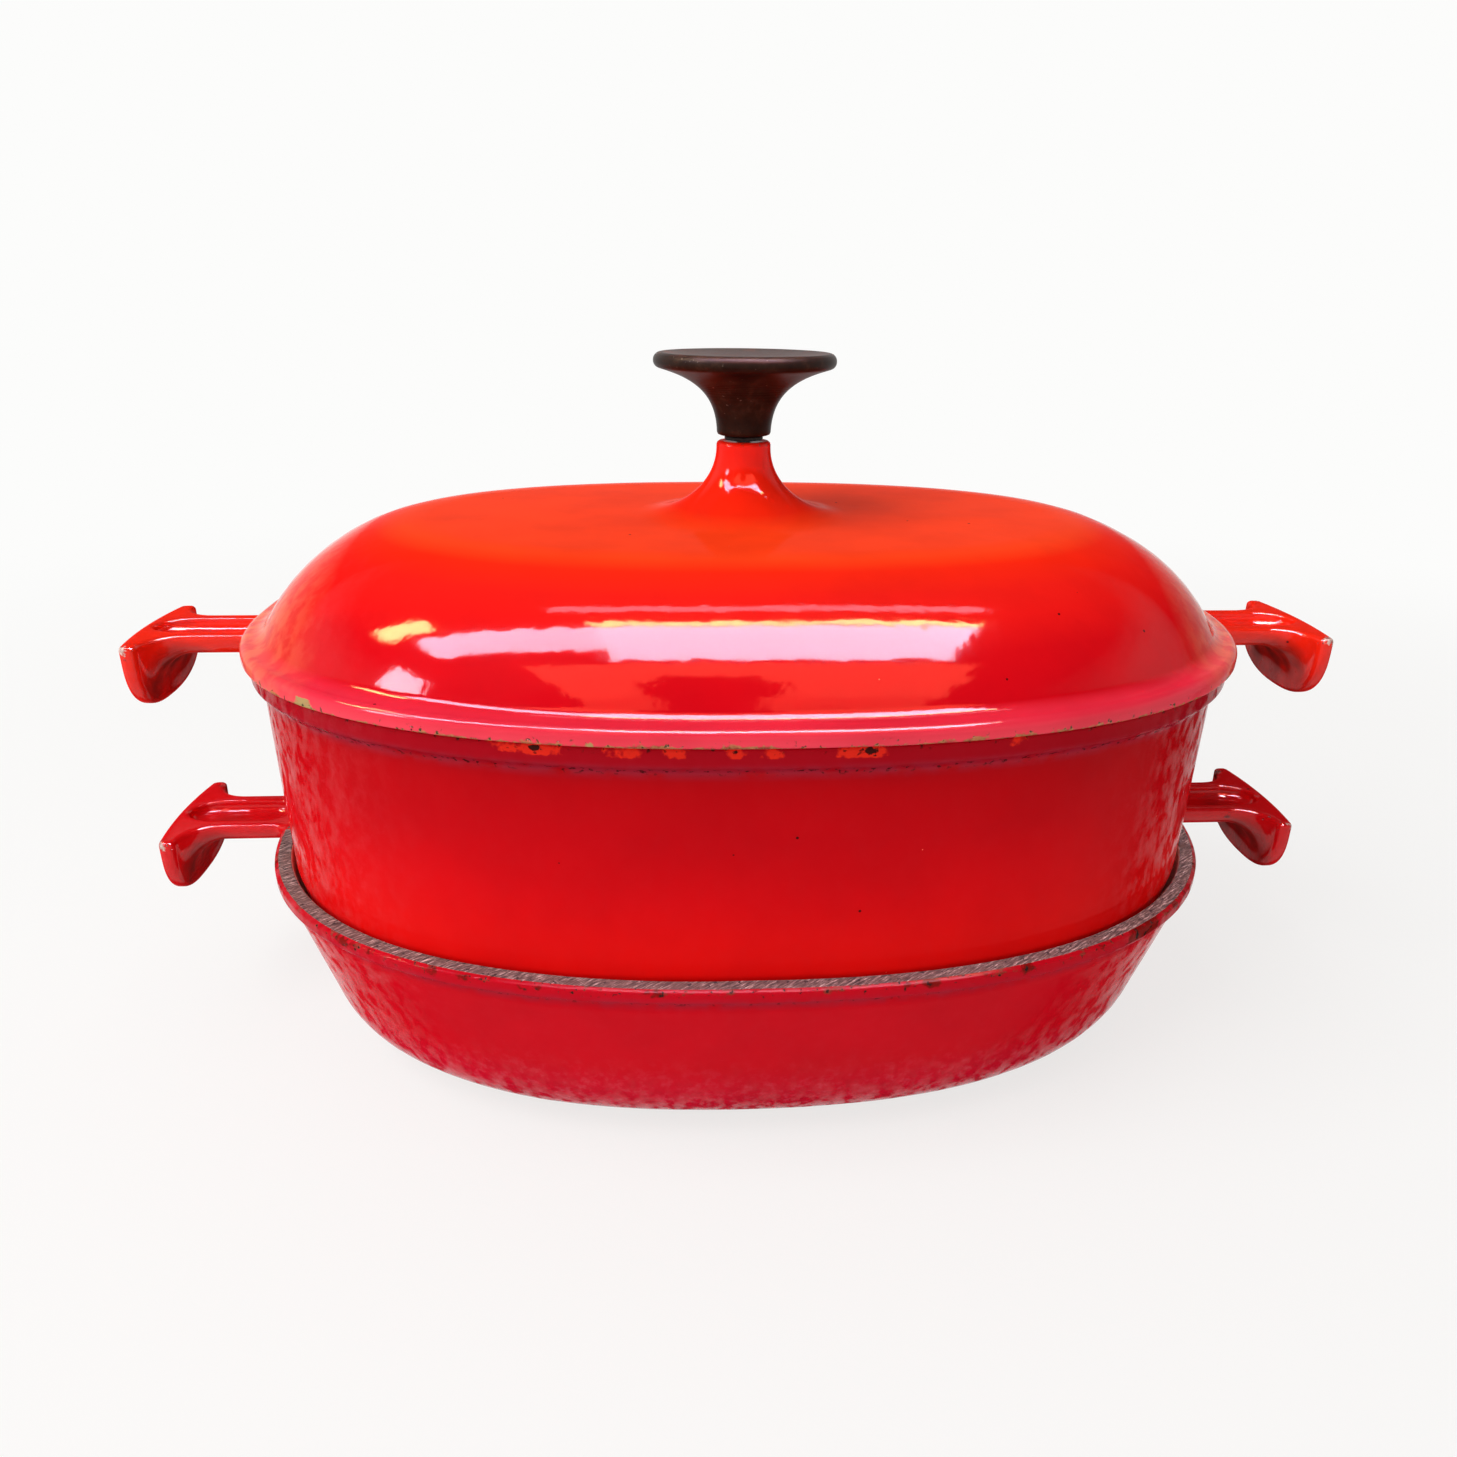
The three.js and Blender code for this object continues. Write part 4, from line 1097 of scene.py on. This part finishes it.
def knob_rings():
    """Knob: waisted neck that flares into a wide rim, and a shallow dished top; solid above its bore."""
    bore = INSERT_HIGH[0] + INSERT_GAP
    bore_top = INSERT_HIGH[2] + INSERT_GAP
    base, top = KNOB_LOW[2], KNOB_HIGH[2]
    edge_z = top - KNOB_EDGE_HEIGHT
    start = [(0, bore_top), (bore, bore_top), (bore, bore_top - 0.5), (bore, base + 0.5), (bore, base)]
    foot = [(KNOB_NECK_RADIUS - 0.9, base), (KNOB_NECK_RADIUS - 0.3, base + 0.25)]
    ends = np.array([(KNOB_NECK_RADIUS, base + 0.9), (KNOB_NECK_RADIUS + 0.4, base + 10.5),
                     (KNOB_RADIUS - 15.5, base + 16.5), (KNOB_RADIUS - 2.5, edge_z - 0.2)])
    flare = [tuple((1 - t) ** 3 * ends[0] + 3 * t * (1 - t) ** 2 * ends[1] + 3 * t * t * (1 - t) * ends[2]
                   + t ** 3 * ends[3]) for t in np.linspace(0, 1, 27)]
    under = arc(KNOB_RADIUS - KNOB_UNDER_ROUND, edge_z + KNOB_UNDER_ROUND, KNOB_UNDER_ROUND,
                0.3 - math.pi / 2, 0.0, 8)
    shoulder = arc(KNOB_RADIUS - KNOB_SHOULDER_ROUND, top - KNOB_SHOULDER_ROUND, KNOB_SHOULDER_ROUND,
                   0.05, math.pi / 2 + 0.25, 10)
    inner, inner_z = shoulder[-1]
    middle_z = top - KNOB_TOP_DISH
    dished = [(inner * share, middle_z + (inner_z - middle_z) * share ** 2)
              for share in np.linspace(1, 0, 14)[1:]]
    return round_rings(start + foot + flare + under + shoulder + dished)


def screw_rings():
    """Pan-head machine screw, head down, with thread grooves along its shank."""
    head_radius, head_z, end_z = SCREW_HIGH[0], SCREW_LOW[2], SCREW_HIGH[2]
    neck_z = head_z + SCREW_HEAD_HEIGHT
    points = [(0, head_z), (3.0, head_z), (3.9, head_z + 0.4), (4.5, head_z + 1.2), (head_radius, head_z + 2),
              (head_radius, neck_z - 0.2), (head_radius - 0.2, neck_z), (SCREW_RADIUS, neck_z)]
    for turn in range(int((end_z - neck_z - 2) / THREAD_PITCH)):
        crest = neck_z + 1 + turn * THREAD_PITCH
        points += [(SCREW_RADIUS, crest), (SCREW_RADIUS - THREAD_DEPTH, crest + THREAD_PITCH / 2)]
    return round_rings(points + [(SCREW_RADIUS, end_z - 0.8), (SCREW_RADIUS - 0.6, end_z), (0, end_z)])


def collar(name, node, inner, ease, material):
    """A plain ring with eased edges, as wide and as high as its CAD node."""
    low, high = box_mm(node)
    outer, low_z, high_z = high[0], low[2], high[2]
    rings = round_rings([(inner, low_z), (outer - ease, low_z), (outer, low_z + ease),
                         (outer, high_z - ease), (outer - ease, high_z), (inner, high_z)])
    return swept_piece(name, rings, material, segments=FIXING_SEGMENTS, closed=True)


knob = swept_piece("phenolic_knob", knob_rings(), PHENOLIC, segments=KNOB_SEGMENTS)
spacer = collar("fibre_spacer", "spacer_washer", STEM_BORE_RADIUS, 0.3, FIBRE)
insert = collar("brass_insert", "knob_insert", INSERT_BORE_RADIUS, 0.4, BRASS)
screw = swept_piece("fixing_screw", screw_rings(), STEEL, segments=FIXING_SEGMENTS)
washer = collar("screw_washer_ring", "screw_washer", STEM_BORE_RADIUS, 0.2, STEEL)

for piece, node, body, slot in (
        (dish, "dish", "dish", "red_enamel"),
        (pot, "pot", "pot", "red_enamel"),
        (lid, "lid", "lid", "red_enamel"),
        (knob, "knob", "lid", "phenolic"),
        (spacer, "spacer_washer", "lid", "black_fibre"),
        (insert, "knob_insert", "lid", "brass"),
        (screw, "knob_screw", "lid", "steel"),
        (washer, "screw_washer", "lid", "steel")):
    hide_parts(node)
    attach(piece, body)

# Stage, in metres: a pale floor that runs to the horizon, where it meets a pale band of the world.
FLOOR_RADIUS = 8.0
FLOOR_NEAR = 0.35
FLOOR_FAR = 1.0
FLOOR_GLOW = 0.78
HORIZON_WHITE = "#fcfcfb"


def seen_directly(tree):
    """1 for what the camera sees, also in gloss and through glass, and 0 for light on matt surfaces."""
    path = add(tree, "ShaderNodeLightPath").outputs
    seen = add(tree, MATH, [path["Is Camera Ray"], path["Is Glossy Ray"]], operation="MAXIMUM")
    return add(tree, MATH, [seen, path["Is Transmission Ray"]], operation="MAXIMUM")


def pale_floor():
    """A round floor of matt pale paint: it takes the shadow near the object and stays even far from it."""
    material, tree = new_material("matt_pale_paint")
    place = add(tree, "ShaderNodeTexCoord").outputs["Object"]
    away = add(tree, VECTOR, [place], operation="LENGTH").outputs["Value"]
    far = add(tree, RANGE, [away, FLOOR_NEAR, FLOOR_FAR, FLOOR_GLOW], interpolation_type="SMOOTHSTEP")
    share = add(tree, MATH, [far, seen_directly(tree)], operation="MULTIPLY")
    paint = add(tree, "ShaderNodeBsdfPrincipled", {
        "Base Color": linear("#eaeeee"), "Roughness": 1.0, "IOR": 1.05})
    even = add(tree, "ShaderNodeEmission", {"Color": linear(HORIZON_WHITE), "Strength": 1.0})
    both = add(tree, "ShaderNodeMixShader", [share, paint, even])
    add(tree, "ShaderNodeOutputMaterial", {"Surface": both})
    steps = [FLOOR_RADIUS, FLOOR_FAR, FLOOR_NEAR, 0.0]
    floor = swept_piece("studio_floor", round_rings([(r / MM, 0.0) for r in steps]), material, segments=96)


pale_floor()


def area_lamp(name, place, target, size, radiance, hex_code, diffuse=False, glossy=False):
    """A rectangular softbox that faces target. Its power follows from its brightness and area,
    and it lights either the matt or the glossy side of a finish, so that each can be set by itself."""
    lamp = bpy.data.lights.new(name, "AREA")
    lamp.shape = "RECTANGLE"
    lamp.size, lamp.size_y = size
    lamp.energy = radiance * math.pi * size[0] * size[1]
    lamp.color = linear(hex_code)[:3]
    holder = bpy.data.objects.new(name, lamp)
    holder.location = place
    holder.rotation_euler = (Vector(target) - Vector(place)).to_track_quat("-Z", "Y").to_euler()
    holder.visible_diffuse = diffuse
    holder.visible_glossy = glossy
    bpy.context.scene.collection.objects.link(holder)


# Soft light for colour and shadow.
area_lamp("overhead_wash", (-0.3, 0.0, 3.0), (0.0, 0.0, 0.0), (4.0, 4.0), 0.9, "#ffffff", diffuse=True)
area_lamp("upper_left_key", (-1.7, -0.9, 2.2), (0.0, 0.0, 0.1), (1.8, 1.8), 5.4, "#ffffff", diffuse=True)
area_lamp("front_left_fill", (-1.2, -1.6, 0.9), (0.0, 0.0, 0.08), (1.2, 1.0), 2.2, "#fff6f0", diffuse=True)

# Window shapes that show in the gloss, all in one ceiling plane but the last.
CEILING_Z = 1.16
for name, left, right, front, back, radiance, tint in (
        ("window_strip", -0.27, 0.60, -0.50, -0.09, 78.0, "#ffe0ff"),
        ("window_strip_left", -1.00, -0.27, -0.36, -0.10, 63.0, "#ffe0ff"),
        ("window_head", -0.26, 0.60, -0.08, -0.03, 110.0, "#ffe094"),
        ("window_head_left", -1.26, -0.84, -0.02, 0.14, 82.0, "#ffe094"),
        ("pale_ceiling_streak", -0.35, 0.60, 0.10, 0.17, 17.0, "#ffd0e6"),
        ("warm_ceiling_back", -0.60, 0.74, -0.72, -0.54, 27.0, "#ff684e"),
        ("warm_ceiling_left", -0.60, -0.18, -0.80, -0.72, 27.0, "#ff684e"),
        ("warm_ceiling_left_mid", -0.56, -0.25, -1.0, -0.80, 27.0, "#ff684e"),
        ("warm_ceiling_left_front", -0.50, -0.20, -1.15, -1.0, 19.0, "#ff684e"),
        ("warm_ceiling_right", 0.09, 0.78, -0.80, -0.72, 27.0, "#ff684e"),
        ("warm_ceiling_right_mid", 0.15, 0.74, -1.0, -0.80, 27.0, "#ff684e"),
        ("warm_ceiling_right_front", 0.11, 0.66, -1.15, -1.0, 19.0, "#ff684e")):
    middle = ((left + right) / 2, (front + back) / 2)
    size = (right - left, back - front)
    area_lamp(name, (*middle, CEILING_Z), (*middle, 0.0), size, radiance, tint, glossy=True)
area_lamp("side_window", (-1.54, -0.56, 1.13), (-0.1, -0.09, 0.15), (0.32, 0.3), 63.0, "#fbeaff",
          glossy=True)


def studio_world():
    """Pale backdrop to the camera and the gloss; the rest is lit by a dim room above a pale horizon."""
    world = bpy.data.worlds.new("dim_studio")
    bpy.context.scene.world = world
    world.use_nodes = True
    tree = world.node_tree
    tree.nodes.clear()
    ray = add(tree, "ShaderNodeTexCoord").outputs["Generated"]
    height = add(tree, SPLIT, [ray]).outputs["Z"]
    backdrop = ((0, HORIZON_WHITE), (25, HORIZON_WHITE), (36, "#4c4648"), (90, "#4c4648"))
    room = ((0, HORIZON_WHITE), (14, HORIZON_WHITE), (19, "#c48a5a"), (27, "#a8603c"), (34, "#4a3a38"),
            (90, "#4c4648"))
    pale, dim = (
        add(tree, RAMP, [height], [(math.sin(math.radians(degrees)), tint) for degrees, tint in bands])
        for bands in (backdrop, room))
    glow = add(tree, MIX, {"Factor": seen_directly(tree), "A": dim, "B": pale}, data_type="RGBA")
    background = add(tree, "ShaderNodeBackground", {"Color": glow, "Strength": 1.0})
    add(tree, "ShaderNodeOutputWorld", {"Surface": background})


studio_world()

# Camera: a phone held about 36 cm in front, a little left, looking down.
CAMERA_PLACE = Vector((-26.53, -361.03, 241.9)) * MM
CAMERA_HEADING = 0.0629
CAMERA_TILT = 0.3803
CAMERA_ROLL = 0.012
CAMERA_LENS = 26.87
SENSOR_WIDTH = 36.0


def photo_camera():
    """The photograph's camera, turned by its heading and tilt and then rolled."""
    camera = bpy.data.cameras.new("photo_camera")
    camera.lens = CAMERA_LENS
    camera.sensor_width = SENSOR_WIDTH
    camera.clip_start, camera.clip_end = 0.01, 20.0
    ahead = Vector((math.sin(CAMERA_HEADING) * math.cos(CAMERA_TILT),
                    math.cos(CAMERA_HEADING) * math.cos(CAMERA_TILT), -math.sin(CAMERA_TILT)))
    right = Vector((math.cos(CAMERA_HEADING), -math.sin(CAMERA_HEADING), 0.0))
    above = right.cross(ahead)
    rolled = right * math.cos(CAMERA_ROLL) + above * math.sin(CAMERA_ROLL)
    above = above * math.cos(CAMERA_ROLL) - right * math.sin(CAMERA_ROLL)
    holder = bpy.data.objects.new("photo_camera", camera)
    turn = Matrix((rolled, above, -ahead)).transposed()
    holder.matrix_world = Matrix.Translation(CAMERA_PLACE) @ turn.to_4x4()
    bpy.context.scene.collection.objects.link(holder)
    bpy.context.scene.camera = holder


photo_camera()
bpy.context.scene.view_settings.view_transform = "Standard"
